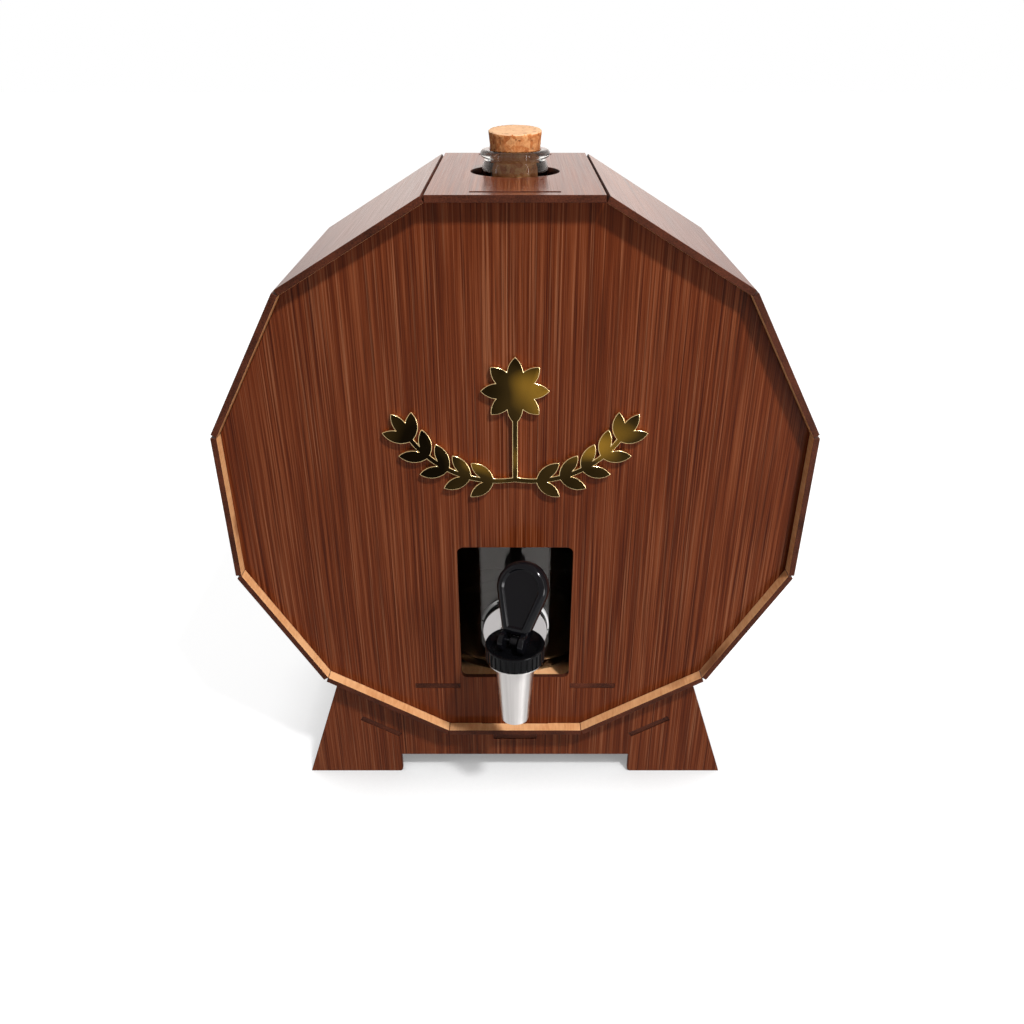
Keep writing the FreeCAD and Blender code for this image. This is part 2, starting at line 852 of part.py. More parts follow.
def teardrop(drawing, radius, centre, low_half, low):
    # A round top whose two straight sides draw in to a narrow foot.
    points = [Vector(low_half.value, low.value, 0), Vector(-low_half.value, low.value, 0)]
    head = Vector(0, centre.value, 0)
    lean = math.atan2(low_half.value, centre.value - low.value)
    spread = math.asin(radius.value / (head - points[0]).Length) - lean
    right = head + Vector(math.cos(spread), -math.sin(spread), 0) * radius.value
    left = Vector(-right.x, right.y, 0)
    rim = Part.ArcOfCircle(Part.Circle(head, Vector(0, 0, 1), radius.value), -spread,
                           math.pi + spread)
    foot = drawing.addGeometry(Part.LineSegment(points[1], points[0]), False)
    side = drawing.addGeometry(Part.LineSegment(points[0], right), False)
    top = drawing.addGeometry(rim, False)
    other = drawing.addGeometry(Part.LineSegment(left, points[1]), False)
    drawing.addConstraint(Sketcher.Constraint("Coincident", foot, 2, side, 1))
    drawing.addConstraint(Sketcher.Constraint("Tangent", side, 2, top, 1))
    drawing.addConstraint(Sketcher.Constraint("Tangent", top, 2, other, 1))
    drawing.addConstraint(Sketcher.Constraint("Coincident", other, 2, foot, 1))
    fix_at(drawing, side, 1, low_half, low)
    fix_at(drawing, other, 2, -low_half, low)
    fix_at(drawing, top, 3, 0, centre)
    rule = Sketcher.Constraint("Radius", top, radius.value)
    bind(drawing, f"Constraints[{drawing.addConstraint(rule)}]", radius)


def make_lever():
    # The origin is the pin. Two legs hang from the paddle, and each ends in a round cam set off
    # from the pin, so that the lever lifts the stem as it comes forward.
    body = new_body("tap_lever")
    centre = S.lever_length - S.lever_top_radius
    drawing = new_sketch(body, "XZ_Plane")
    teardrop(drawing, S.lever_top_radius, centre, S.lever_foot_half, S.lever_start)
    pad(body, drawing, S.lever_thick, both_ways=True)
    legs = new_sketch(body, "XZ_Plane")
    rectangle(legs, -S.lever_foot_half, 0, S.lever_foot_half, S.lever_start + S.run_gap)
    pad(body, legs, S.lever_thick, both_ways=True)
    cam = new_sketch(body, "YZ_Plane")
    lean = half_travel - driving["lever_tilt"]
    circle(cam, -S.cam_throw * cosine(lean), S.cam_throw * sine(lean), S.cam_radius)
    pad(body, cam, S.pin_length, both_ways=True)
    face = new_sketch(body, "XZ_Plane", S.lever_thick / 2)
    inside = S.lever_top_radius - S.lever_rim
    teardrop(face, inside, centre, S.lever_face_half, S.lever_face_start)
    pocket(body, face, S.lever_rim_depth)
    slot = new_sketch(body, "XZ_Plane")
    half = S.leg_gap / 2
    rectangle(slot, -half, -S.cam_radius * 2, half, S.lever_start)
    pocket(body, slot, S.cut_through, both_ways=True)
    hole = new_sketch(body, "YZ_Plane")
    circle(hole, 0, 0, S.pin_radius + S.run_gap)
    pocket(body, hole, S.cut_through, both_ways=True)
    lean_back = turned((1, 0, 0), -driving["lever_tilt"])
    return place(body, 0, tap_y, tap_z + pin_level, valve_turn.multiply(lean_back))


# Ornament: two leafy branches and a rosette, cut from one sheet and fixed to the front panel.
branch_centre = Vector(8.5, 0, 50)
branch_radius = 50.0
branch_start = -101.0
branch_end = -30.0
branch_width = 2.6
leaf_length = 14.5
leaf_width = 6.2
leaf_lean = 38.0
leaf_angles = (-88, -75, -62, -49, -36)
rosette_level = 45.0
petal_count = 8
petal_length = 16.0
petal_width = 7.6
stalk_width = 2.6
hub_radius = 4.0
end_leaf_setback = 4.0


def leaf(base, direction, length, width):
    # A pointed leaf: two arcs between its base and its tip, lying in the XZ plane.
    ahead = Vector(math.cos(direction), 0, math.sin(direction))
    side = Vector(-ahead.z, 0, ahead.x) * (width / 2)
    tip = base + ahead * length
    middle = base + ahead * (length / 2)
    upper = Part.Arc(base, middle + side, tip).toShape()
    lower = Part.Arc(tip, middle - side, base).toShape()
    return Part.Face(Part.Wire([upper, lower]))


def on_branch(angle, radius=branch_radius):
    turn = math.radians(angle)
    return branch_centre + Vector(math.cos(turn), 0, math.sin(turn)) * radius


def branch_band():
    inner, outer = branch_radius - branch_width / 2, branch_radius + branch_width / 2
    middle = (branch_start + branch_end) / 2
    arcs = [Part.Arc(*[on_branch(a, r) for a in (branch_start, middle, branch_end)]).toShape()
            for r in (inner, outer)]
    caps = [Part.LineSegment(on_branch(a, inner), on_branch(a, outer)).toShape()
            for a in (branch_start, branch_end)]
    return Part.Face(Part.Wire(Part.sortEdges(arcs + caps)[0]))


def make_ornament():
    faces = [branch_band()]
    for angle in leaf_angles:
        for side in (-1, 1):
            heading = math.radians(angle + 90 + side * leaf_lean)
            faces.append(leaf(on_branch(angle), heading, leaf_length, leaf_width))
    last = branch_end - end_leaf_setback
    heading = math.radians(last + 90)
    faces.append(leaf(on_branch(last), heading, leaf_length, leaf_width))
    faces += [face.mirror(Vector(0, 0, 0), Vector(1, 0, 0)) for face in faces]
    for k in range(petal_count):
        turn = 2 * math.pi * k / petal_count + math.pi / 2
        centre = Vector(0, 0, rosette_level)
        faces.append(leaf(centre, turn, petal_length, petal_width))
    hub = Part.Circle(Vector(0, 0, rosette_level), Vector(0, 1, 0), hub_radius)
    faces.append(Part.Face(Part.Wire([hub.toShape()])))
    half = stalk_width / 2
    low = on_branch(branch_start).z
    corners = [(-half, low), (half, low), (half, rosette_level), (-half, rosette_level)]
    points = [Vector(x, 0, z) for x, z in corners]
    faces.append(Part.Face(Part.makePolygon(points + points[:1])))
    thick = Vector(0, driving["ornament_thick"], 0)
    solids = [face.extrude(thick) for face in faces]
    plate = solids[0].multiFuse(solids[1:]).removeSplitter()
    ornament = doc.addObject("Part::Feature", "ornament")
    ornament.Label = "ornament"
    ornament.Shape = plate.Solids[0] if len(plate.Solids) == 1 else plate
    level = S.axis_height + S.ornament_level
    start = front_y + S.panel_recess - S.ornament_thick
    return place(ornament, 0, start, level)


def check_document():
    for thing in doc.Objects:
        if "Invalid" in thing.State or "Error" in thing.State:
            raise RuntimeError(f"{thing.Label} is {thing.State}")


def export(pieces):
    os.makedirs("parts", exist_ok=True)
    for piece in pieces:
        shape = piece.Shape
        if shape.isNull() or not shape.isValid():
            raise RuntimeError(f"{piece.Label} has no valid shape")
        if len(shape.Solids) != 1:
            raise RuntimeError(f"{piece.Label} has {len(shape.Solids)} solids")
    for piece in pieces:
        piece.Shape.exportStep(os.path.join("parts", piece.Label + ".step"))


pieces = make_casing()
pieces += [make_front_panel(), make_back_panel(), make_shelf(), make_ornament()]
pieces += make_stand()
pieces += [make_bottle(), make_cork()]
pieces += [make_tap_body(), make_tap_cap(), make_nut(), *make_washers()]
pieces += [make_guide_bush(), make_stem(), make_seal(), make_spring(), make_lever_pin()]
pieces.append(make_lever())
doc.recompute()
check_document()
export(pieces)
box = FreeCAD.BoundBox()
for piece in pieces:
    box.add(piece.Shape.BoundBox)
print(f"{len(pieces)} pieces, {box.XLength:.1f} x {box.YLength:.1f} x {box.ZLength:.1f} mm")
print(f"box from ({box.XMin:.2f}, {box.YMin:.2f}, {box.ZMin:.2f})")
print(f"pin at height {(tap_z + pin_level).value:.3f}, tap axis at y {tap_y.value:.3f}")
print(f"stem lift {2 * driving['cam_throw'] * math.sin(math.radians(half_travel)):.4f} mm")
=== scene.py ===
import json
import math

import bpy
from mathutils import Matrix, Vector


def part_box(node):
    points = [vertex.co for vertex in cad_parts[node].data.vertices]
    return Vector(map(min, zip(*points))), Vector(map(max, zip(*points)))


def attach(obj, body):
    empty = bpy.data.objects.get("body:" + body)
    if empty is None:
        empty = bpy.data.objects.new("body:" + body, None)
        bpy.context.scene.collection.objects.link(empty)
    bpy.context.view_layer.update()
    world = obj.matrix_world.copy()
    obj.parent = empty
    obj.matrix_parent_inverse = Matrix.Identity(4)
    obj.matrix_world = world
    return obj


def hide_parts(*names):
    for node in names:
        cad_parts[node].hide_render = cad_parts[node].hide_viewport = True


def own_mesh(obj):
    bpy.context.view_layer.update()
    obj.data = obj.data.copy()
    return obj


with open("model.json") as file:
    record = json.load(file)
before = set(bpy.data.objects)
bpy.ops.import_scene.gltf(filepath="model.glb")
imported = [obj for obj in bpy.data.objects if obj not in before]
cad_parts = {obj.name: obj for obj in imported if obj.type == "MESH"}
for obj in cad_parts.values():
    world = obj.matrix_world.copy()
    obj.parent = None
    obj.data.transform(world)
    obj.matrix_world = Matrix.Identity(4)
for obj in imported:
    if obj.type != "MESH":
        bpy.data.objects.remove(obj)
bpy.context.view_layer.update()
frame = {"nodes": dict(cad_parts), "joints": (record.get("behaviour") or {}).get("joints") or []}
print("frame loaded:", len(frame["nodes"]), "nodes")

mm = 0.001
xAxis = Vector((1, 0, 0))
yAxis = Vector((0, 1, 0))
zAxis = Vector((0, 0, 1))

# Places that the pieces are built from, read from the frame.
panelLow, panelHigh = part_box("front_panel")
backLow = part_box("back_panel")[0]
topLow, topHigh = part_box("slat_top")
capLow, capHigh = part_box("tap_cap")
washerLow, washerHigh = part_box("outer_washer")
bottleLow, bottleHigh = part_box("glass_bottle")
corkLow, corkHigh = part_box("cork_stopper")
joints = {joint["name"]: joint for joint in frame["joints"]}
barrelCentre = Vector((0, (topLow.y + topHigh.y) / 2, (panelLow.z + panelHigh.z) / 2))
tapCentre = Vector((0, (capLow.y + capHigh.y) / 2, (washerLow.z + washerHigh.z) / 2))
pinPoint = Vector(joints["lever_tilt"]["pos_m"])
leverSide = Vector(joints["lever_tilt"]["axis"])
leverYaw = math.atan2(leverSide.y, leverSide.x)


# Small helpers for selecting and editing.
def clearSelection():
    bpy.ops.object.select_all(action="DESELECT")


def makeActive(piece):
    clearSelection()
    piece.select_set(True)
    bpy.context.view_layer.objects.active = piece


def startEdit(piece, kind="FACE"):
    makeActive(piece)
    bpy.ops.object.mode_set(mode="EDIT")
    bpy.ops.mesh.select_mode(type=kind)


def endEdit():
    bpy.ops.object.mode_set(mode="OBJECT")


def pickFaces(piece, test):
    # Selects the faces whose centre and normal pass the test.
    mesh = piece.data
    for part in (*mesh.vertices, *mesh.edges):
        part.select = False
    for face in mesh.polygons:
        face.select = test(face.center, face.normal)


def pickPoints(piece, test):
    mesh = piece.data
    for part in (*mesh.edges, *mesh.polygons):
        part.select = False
    for point in mesh.vertices:
        point.select = test(point.co)


def movePoints(piece, test, offset):
    pickPoints(piece, test)
    startEdit(piece, "VERT")
    bpy.ops.transform.translate(value=offset)
    endEdit()


def applyModifier(piece, kind, **values):
    makeActive(piece)
    modifier = piece.modifiers.new(kind.title(), kind)
    for key, value in values.items():
        setattr(modifier, key, value)
    bpy.ops.object.modifier_apply(modifier=modifier.name)


def settle(piece):
    # Puts the piece's place into its mesh, so that its object sits at the origin.
    makeActive(piece)
    bpy.ops.object.transform_apply(location=True, rotation=True, scale=True)


def combine(piece, tool, operation):
    applyModifier(piece, "BOOLEAN", object=tool, operation=operation, solver="EXACT")
    bpy.data.objects.remove(tool)


def cutWith(piece, maker, **values):
    clearSelection()
    maker(**values)
    tool = bpy.context.object
    settle(tool)
    combine(piece, tool, "DIFFERENCE")


def turnPiece(piece, location, rotation=(0, 0, 0)):
    piece.rotation_euler = rotation
    piece.location = location
    settle(piece)


def weld(piece, reach=0.00001):
    startEdit(piece, "VERT")
    bpy.ops.mesh.select_all(action="SELECT")
    bpy.ops.mesh.remove_doubles(threshold=reach)
    bpy.ops.mesh.normals_make_consistent(inside=False)
    endEdit()


def smooth(piece, angle=35):
    makeActive(piece)
    bpy.ops.object.shade_smooth_by_angle(angle=math.radians(angle))


def bevelEdges(piece, width, segments=2, angle=40, **more):
    applyModifier(
        piece, "BEVEL", width=width, segments=segments, limit_method="ANGLE",
        angle_limit=math.radians(angle), use_clamp_overlap=True, **more,
    )


def setMaterials(piece, *materials):
    piece.data.materials.clear()
    for material in materials:
        piece.data.materials.append(material)


def place(piece, body, slotName, *nodes):
    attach(piece, body)
    if nodes:
        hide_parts(*nodes)
    return piece


def lathe(name, rings, steps=96, closed=False):
    # A ring drawn up step by step through (radius, height), then closed at both ends.
    radius, height = rings[0]
    clearSelection()
    bpy.ops.mesh.primitive_circle_add(vertices=steps, radius=radius, enter_editmode=True)
    piece = bpy.context.object
    piece.name = name
    bpy.ops.mesh.select_mode(type="VERT")
    bpy.ops.transform.translate(value=(0, 0, height))
    for nextRadius, nextHeight in rings[1:]:
        bpy.ops.mesh.extrude_region_move(
            TRANSFORM_OT_translate={"value": (0, 0, nextHeight - height)}
        )
        scale = nextRadius / radius
        bpy.ops.transform.resize(value=(scale, scale, 1), center_override=(0, 0, nextHeight))
        radius, height = nextRadius, nextHeight
    endEdit()
    if not closed:
        startEdit(piece, "EDGE")
        bpy.ops.mesh.select_all(action="DESELECT")
        bpy.ops.mesh.select_non_manifold()
        bpy.ops.mesh.edge_face_add()
        endEdit()
    weld(piece)
    return piece


def bend(start, end, centre, count):
    # Points of an arc in the (radius, height) plane from start to end, in count steps.
    first = math.atan2(start[1] - centre[1], start[0] - centre[0])
    last = math.atan2(end[1] - centre[1], end[0] - centre[0])
    if last - first > math.pi:
        last -= 2 * math.pi
    if first - last > math.pi:
        last += 2 * math.pi
    size = math.hypot(start[0] - centre[0], start[1] - centre[1])
    turns = [first + (last - first) * k / count for k in range(1, count + 1)]
    return [(centre[0] + size * math.cos(a), centre[1] + size * math.sin(a)) for a in turns]


# Material helpers.
def tone(red, green, blue):
    # A colour given as a screen colour from 0 to 255, as the shader's own linear colour.
    def straight(value):
        value = value / 255
        return value / 12.92 if value <= 0.04045 else ((value + 0.055) / 1.055) ** 2.4

    return (straight(red), straight(green), straight(blue), 1.0)


def newMaterial(name, color, roughness, metallic=0.0, specular=0.5):
    material = bpy.data.materials.new(name)
    material.use_nodes = True
    shader = material.node_tree.nodes["Principled BSDF"]
    shader.inputs["Base Color"].default_value = color
    shader.inputs["Roughness"].default_value = roughness
    shader.inputs["Metallic"].default_value = metallic
    shader.inputs["Specular IOR Level"].default_value = specular
    return material, material.node_tree, shader


def feed(tree, sockets, values):
    # Each value is another node's output to link, or a fixed number or colour.
    for socket, value in zip(sockets, values):
        if isinstance(value, bpy.types.NodeSocket):
            tree.links.new(value, socket)
        else:
            socket.default_value = value


def addNode(tree, kind, inputs=None, **settings):
    made = tree.nodes.new(kind)
    for key, value in settings.items():
        setattr(made, key, value)
    inputs = inputs or {}
    feed(tree, [made.inputs[key] for key in inputs], inputs.values())
    return made


def objectPoint(tree):
    return addNode(tree, "ShaderNodeTexCoord").outputs["Object"]


def splitPoint(tree, vector):
    return addNode(tree, "ShaderNodeSeparateXYZ", {"Vector": vector}).outputs


def flatPoint(tree, across, along):
    return addNode(tree, "ShaderNodeCombineXYZ", {"X": across, "Y": along}).outputs[0]


def scaled(tree, vector, scale, location=(0, 0, 0), rotation=(0, 0, 0)):
    values = {"Vector": vector, "Scale": scale, "Location": location, "Rotation": rotation}
    return addNode(tree, "ShaderNodeMapping", values).outputs["Vector"]


def noise(tree, vector, size=1.0, detail=2.0, roughness=0.5):
    values = {"Vector": vector, "Scale": size, "Detail": detail, "Roughness": roughness}
    return addNode(tree, "ShaderNodeTexNoise", values).outputs["Fac"]


def ramp(tree, factor, stops):
    made = addNode(tree, "ShaderNodeValToRGB", {"Fac": factor})
    points = made.color_ramp.elements
    while len(points) < len(stops):
        points.new(0.5)
    for point, (position, color) in zip(points, stops):
        point.position = position
        point.color = color
    return made.outputs["Color"]


def blendColor(tree, factor, first, second, mode="MIX"):
    made = addNode(tree, "ShaderNodeMix", data_type="RGBA", blend_type=mode)
    feed(tree, (made.inputs[0], made.inputs[6], made.inputs[7]), (factor, first, second))
    return made.outputs[2]


def maths(tree, kind, first, second=0.0, third=0.0):
    made = addNode(tree, "ShaderNodeMath", operation=kind)
    feed(tree, made.inputs, (first, second, third))
    return made.outputs["Value"]


def stretch(tree, factor, low, high, newLow=0.0, newHigh=1.0):
    values = {"Value": factor, "From Min": low, "From Max": high,
              "To Min": newLow, "To Max": newHigh}
    return addNode(tree, "ShaderNodeMapRange", values).outputs["Result"]


def linkRoughness(tree, shader, texture, low, high):
    tree.links.new(stretch(tree, texture, 0.3, 0.7, low, high), shader.inputs["Roughness"])


def addBump(tree, shader, height, depth, strength=1.0):
    values = {"Height": height, "Distance": depth, "Strength": strength}
    bump = addNode(tree, "ShaderNodeBump", values)
    tree.links.new(bump.outputs["Normal"], shader.inputs["Normal"])


# Boards: wood-grain laminate outside, raw board inside with painted shade further in, laser-burnt
# edges.
laminate = {
    "dark": tone(56, 19, 6),
    "middle": tone(88, 37, 14),
    "light": tone(112, 58, 32),
    "streak": tone(146, 92, 62),
    "pore": tone(40, 12, 3),
    "roughness": 0.2,
    "ior": 1.22,
    "glossTint": (1, 0.86, 0.8, 1),
    "pitch": 1.5 * mm,  # width of a grain line
    "length": 320 * mm,
    "wave": 0.5 * mm,
    "mainShare": 0.46,
    "fineShare": 0.40,
    "broadShare": 0.14,
    "streakShare": 0.48,
    "poreShare": 0.6,
    "poreDepth": 0.02 * mm,
}


def makeLaminate():
    values = laminate
    material, tree, shader = newMaterial("laminate", values["middle"], values["roughness"])
    shader.inputs["IOR"].default_value = values["ior"]
    shader.inputs["Specular Tint"].default_value = values["glossTint"]
    grain = addNode(tree, "ShaderNodeUVMap", uv_map="grain").outputs["UV"]
    parts = splitPoint(tree, grain)
    slow = noise(tree, scaled(tree, grain, (10, 6, 1)), 1.0, 1.0)
    sway = maths(tree, "MULTIPLY", slow, values["wave"] * 2)
    line = flatPoint(tree, maths(tree, "ADD", parts["X"], sway), parts["Y"])

    def layer(finer, shorter, shift, detail=2.0):
        # One set of grain lines, so many times finer and shorter than the main one.
        scale = (finer / values["pitch"], shorter / values["length"], 1)
        return noise(tree, scaled(tree, line, scale, (shift, shift * 0.7, 0)), 1.0, detail, 0.55)

    main = layer(1, 1.5, 0)
    fine = layer(2.6, 5, 3.3)
    broad = layer(0.11, 1, 6.1)
    both = maths(tree, "MULTIPLY", fine, values["fineShare"])
    both = maths(tree, "MULTIPLY_ADD", main, values["mainShare"], both)
    toneAll = maths(tree, "MULTIPLY_ADD", broad, values["broadShare"], both)
    stops = [(0.38, values["dark"]), (0.5, values["middle"]), (0.62, values["light"])]
    color = ramp(tree, toneAll, stops)
    pale = layer(1.6, 2.2, 9.2, 3.0)
    paleMask = stretch(tree, pale, 0.54, 0.68, 0.0, values["streakShare"])
    color = blendColor(tree, paleMask, color, values["streak"])
    pores = layer(2.1, 4, 12.7, 3.0)
    poreMask = stretch(tree, pores, 0.57, 0.68, 0.0, values["poreShare"])
    color = blendColor(tree, poreMask, color, values["pore"])
    tree.links.new(color, shader.inputs["Base Color"])
    linkRoughness(tree, shader, fine, values["roughness"] - 0.02, values["roughness"] + 0.05)
    relief = maths(tree, "SUBTRACT", toneAll, poreMask)
    addBump(tree, shader, relief, values["poreDepth"], 0.2)
    return material


rawBoard = {
    "pale": tone(216, 163, 115),
    "warm": tone(192, 131, 83),
    "scorch": tone(114, 63, 36),
    "shade": tone(16, 9, 6),
    "roughness": 0.72,
    "innerPaintedShade": (2.5 * mm, 3 * mm),  # where the painted shade starts and how soft its edge is
    "shelfPaintedShade": (7 * mm, 6 * mm),
    "fibreDepth": 0.08 * mm,
}


def makeRawBoard(name, front, paintedShadeReach):
    # Bare board with painted shade: dark from a little behind the front, inside, where it isn't
    # meant to be seen and little light reaches.
    values = rawBoard
    material, tree, shader = newMaterial(name, values["pale"], values["roughness"], specular=0.25)
    point = objectPoint(tree)
    fibre = noise(tree, scaled(tree, point, (900, 120, 900)), 1.0, 3.0, 0.6)
    cloud = noise(tree, scaled(tree, point, (45, 30, 45)), 1.0, 3.0)
    mixed = maths(tree, "MULTIPLY_ADD", fibre, 0.45, maths(tree, "MULTIPLY", cloud, 0.55))
    base = ramp(tree, mixed, [(0.36, values["warm"]), (0.58, values["pale"])])
    smoke = noise(tree, scaled(tree, point, (30, 60, 30), (0.3, 0.1, 0.2)), 1.0, 2.0)
    color = blendColor(tree, stretch(tree, smoke, 0.60, 0.78, 0.0, 0.75), base, values["scorch"])
    # Painted shade: the colour turns near-black from a little behind the front, where the inside
    # lies in shade.
    start = front + paintedShadeReach[0]
    behind = stretch(tree, splitPoint(tree, point)["Y"], start, start + paintedShadeReach[1])
    color = blendColor(tree, behind, color, values["shade"])
    tree.links.new(color, shader.inputs["Base Color"])
    addBump(tree, shader, fibre, values["fibreDepth"], 0.4)
    return material


burntEdge = {
    "dark": tone(40, 18, 10),
    "brown": tone(88, 44, 28),
    "roughness": 0.5,
    "cutDepth": 0.08 * mm,
}


def makeBurntEdge():
    values = burntEdge
    material, tree, shader = newMaterial(
        "burntEdge", values["dark"], values["roughness"], specular=0.1
    )
    point = objectPoint(tree)
    cuts = noise(tree, scaled(tree, point, (1400, 260, 1400)), 1.0, 3.0, 0.65)
    cloud = noise(tree, scaled(tree, point, (60, 60, 60)), 1.0, 2.0)
    mixed = maths(tree, "MULTIPLY_ADD", cuts, 0.6, maths(tree, "MULTIPLY", cloud, 0.4))
    color = ramp(tree, mixed, [(0.38, values["dark"]), (0.64, values["brown"])])
    tree.links.new(color, shader.inputs["Base Color"])
    addBump(tree, shader, cuts, values["cutDepth"], 0.5)
    return material


laminateSkin = makeLaminate()
innerSkin = makeRawBoard("rawInner", panelLow.y, rawBoard["innerPaintedShade"])
shelfSkin = makeRawBoard("rawShelf", bottleLow.y, rawBoard["shelfPaintedShade"])
burntSkin = makeBurntEdge()

boards = {
    "edgeRound": 0.22 * mm,
    "flatEnough": 0.9,
    "tabSetback": 0.6 * mm,
    "sides": 12,
    "railLean": math.radians(30),
}


def copyNode(name, node):
    # The node's own shape as a clean mesh: doubles merged and flat areas made one face.
    piece = bpy.data.objects.new(name, frame["nodes"][node].data.copy())
    bpy.context.scene.collection.objects.link(piece)
    startEdit(piece, "VERT")
    bpy.ops.mesh.select_all(action="SELECT")
    bpy.ops.mesh.remove_doubles(threshold=0.000005)
    bpy.ops.mesh.dissolve_limited(angle_limit=math.radians(0.4))
    endEdit()
    return piece


def layGrain(piece, across, along, shift):
    # A map in metres: U across the grain and V along it.
    layer = piece.data.uv_layers.new(name="grain")
    for loop in piece.data.loops:
        point = piece.data.vertices[loop.vertex_index].co
        layer.data[loop.index].uv = (point.dot(across) + shift, point.dot(along) + shift * 3.7)


def isTabEnd(point):
    # The end panels' tabs end a little below the outside of the boards that they pass through.
    return abs(point.z - barrelCentre.z) > topHigh.z - barrelCentre.z - 0.05 * mm


def makeBoard(name, node, body, outward, across, along, shift, inner=None, burnt=None):
    # The outward side is laminate, the other side is raw board and the cut edges are burnt.
    # Across and along are the grain's directions, and shift takes another part of its pattern.
    piece = copyNode(name, node)
    if node in ("front_panel", "back_panel"):
        for side in (-1, 1):
            movePoints(piece, lambda co: isTabEnd(co) and (co.z - barrelCentre.z) * side > 0,
                       (0, 0, -side * boards["tabSetback"]))
    bevelEdges(piece, boards["edgeRound"])
    setMaterials(piece, laminateSkin, inner or innerSkin, burntSkin)
    for face in piece.data.polygons:
        facing = face.normal.dot(outward)
        if abs(facing) < boards["flatEnough"] or (burnt and burnt(face.center)):
            face.material_index = 2
        else:
            face.material_index = 0 if facing > 0 else 1
    layGrain(piece, across, along, shift)
    return place(piece, body, "stained_board", node)


slatOrder = (
    "slat_top", "slat_top_right", "slat_upper_right", "slat_right", "slat_lower_right",
    "slat_bottom_right", "slat_bottom", "slat_bottom_left", "slat_lower_left", "slat_left",
    "slat_upper_left", "slat_top_left",
)
for k, node in enumerate(slatOrder):
    turn = math.radians(360 / boards["sides"] * k)
    outward = Vector((math.sin(turn), 0, math.cos(turn)))
    across = Vector((math.cos(turn), 0, -math.sin(turn)))
    makeBoard("board_" + node, node, "cask", outward, across, yAxis, 0.31 * k)
makeBoard("board_front_panel", "front_panel", "cask", -yAxis, xAxis, zAxis, 0.05)
makeBoard("board_back_panel", "back_panel", "cask", yAxis, xAxis, zAxis, 1.4)
makeBoard(
    "board_bottle_shelf", "bottle_shelf", "cask", -zAxis, xAxis, yAxis, 2.2, shelfSkin,
    lambda centre: not panelHigh.y < centre.y < backLow.y,
)
makeBoard("board_stand_front", "stand_front", "stand", -yAxis, xAxis, zAxis, 2.9)
makeBoard("board_stand_back", "stand_back", "stand", yAxis, xAxis, zAxis, 3.6)
for side, lean in (("centre", 0), ("right", -1), ("left", 1)):
    turn = lean * boards["railLean"]
    node = "stand_rail_" + side
    outward = -Vector((math.sin(turn), 0, math.cos(turn)))
    across = Vector((math.cos(turn), 0, -math.sin(turn)))
    makeBoard("board_" + node, node, "stand", outward, across, yAxis, 4.3 + turn)
print("boards done")


# Ornament: mirror faces coloured dark with painted, patchy reflection, inside bright bevelled
# edges.
ornament = {
    "edge": 0.75 * mm,
    "face": tone(58, 44, 20),
    "faceReflectedDark": tone(20, 14, 6),
    "faceReflectedWarm": tone(150, 112, 40),
    "rim": tone(255, 226, 168),
    "faceWave": 0.6 * mm,
    "rimGrit": 0.04 * mm,
}


def makeGoldFace():
    values = ornament
    material, tree, shader = newMaterial("goldFace", values["face"], 0.12, 1.0)
    point = objectPoint(tree)
    # Painted reflection: the face colour is dark gold with darker and warmer patches, standing in
    # for what the mirror reflects.
    reflectionSweep = noise(tree, scaled(tree, point, (26, 1, 34), rotation=(0, 0.7, 0)), 1.0, 1.0)
    stops = [(0.34, values["faceReflectedDark"]), (0.52, values["face"]), (0.70, values["faceReflectedWarm"])]
    tree.links.new(ramp(tree, reflectionSweep, stops), shader.inputs["Base Color"])
    addBump(tree, shader, noise(tree, point, 60.0, 1.0), values["faceWave"], 0.25)
    return material


def makeGoldRim():
    material, tree, shader = newMaterial("goldRim", ornament["rim"], 0.18, 1.0)
    grit = noise(tree, objectPoint(tree), 900.0, 2.0)
    linkRoughness(tree, shader, grit, 0.14, 0.26)
    addBump(tree, shader, grit, ornament["rimGrit"], 0.4)
    return material


goldFace = makeGoldFace()
goldRim = makeGoldRim()
sprig = copyNode("gold_sprig", "ornament")
setMaterials(sprig, goldFace, goldRim)
for face in sprig.data.polygons:
    face.material_index = 0 if face.normal.y < -0.9 else 1
bevelEdges(sprig, ornament["edge"], 3, 40, material=1)
smooth(sprig, 30)
place(sprig, "cask", "gold_acrylic", "ornament")
print("ornament done")


# Bottle.
bottle = {
    "wall": 2.4 * mm,
    "tint": (0.93, 0.97, 0.96, 1.0),
    "glossTint": (1, 0.92, 0.87, 1),
    "gloss": 0.25,
    "ior": 1.5,
    "ripple": 0.4 * mm,
    "heel": 6 * mm,
    "floor": 6 * mm,
    "floorRound": 3.6 * mm,
    "shoulder": 36 * mm,
    "shoulderStart": 185 * mm,
    "neck": 14.5 * mm,
    "band": 15.5 * mm,
    "bandLow": 248.6 * mm,
    "bandHigh": 259.0 * mm,
    "bandSteps": 12,
    "lip": 16.3 * mm,
    "lipHeight": 3.6 * mm,
    "join": math.radians(75),  # where the shoulder turns hollow
    "tapHole": 8.3 * mm,
}


def makeGlass():
    values = bottle
    material, tree, shader = newMaterial("clearGlass", values["tint"], 0.0)
    shader.inputs["Specular IOR Level"].default_value = values["gloss"]
    shader.inputs["Specular Tint"].default_value = values["glossTint"]
    shader.inputs["IOR"].default_value = values["ior"]
    shader.inputs["Transmission Weight"].default_value = 1.0
    ripple = noise(tree, scaled(tree, objectPoint(tree), (30, 30, 14)), 1.0, 2.0)
    addBump(tree, shader, ripple, values["ripple"], 0.12)
    return material


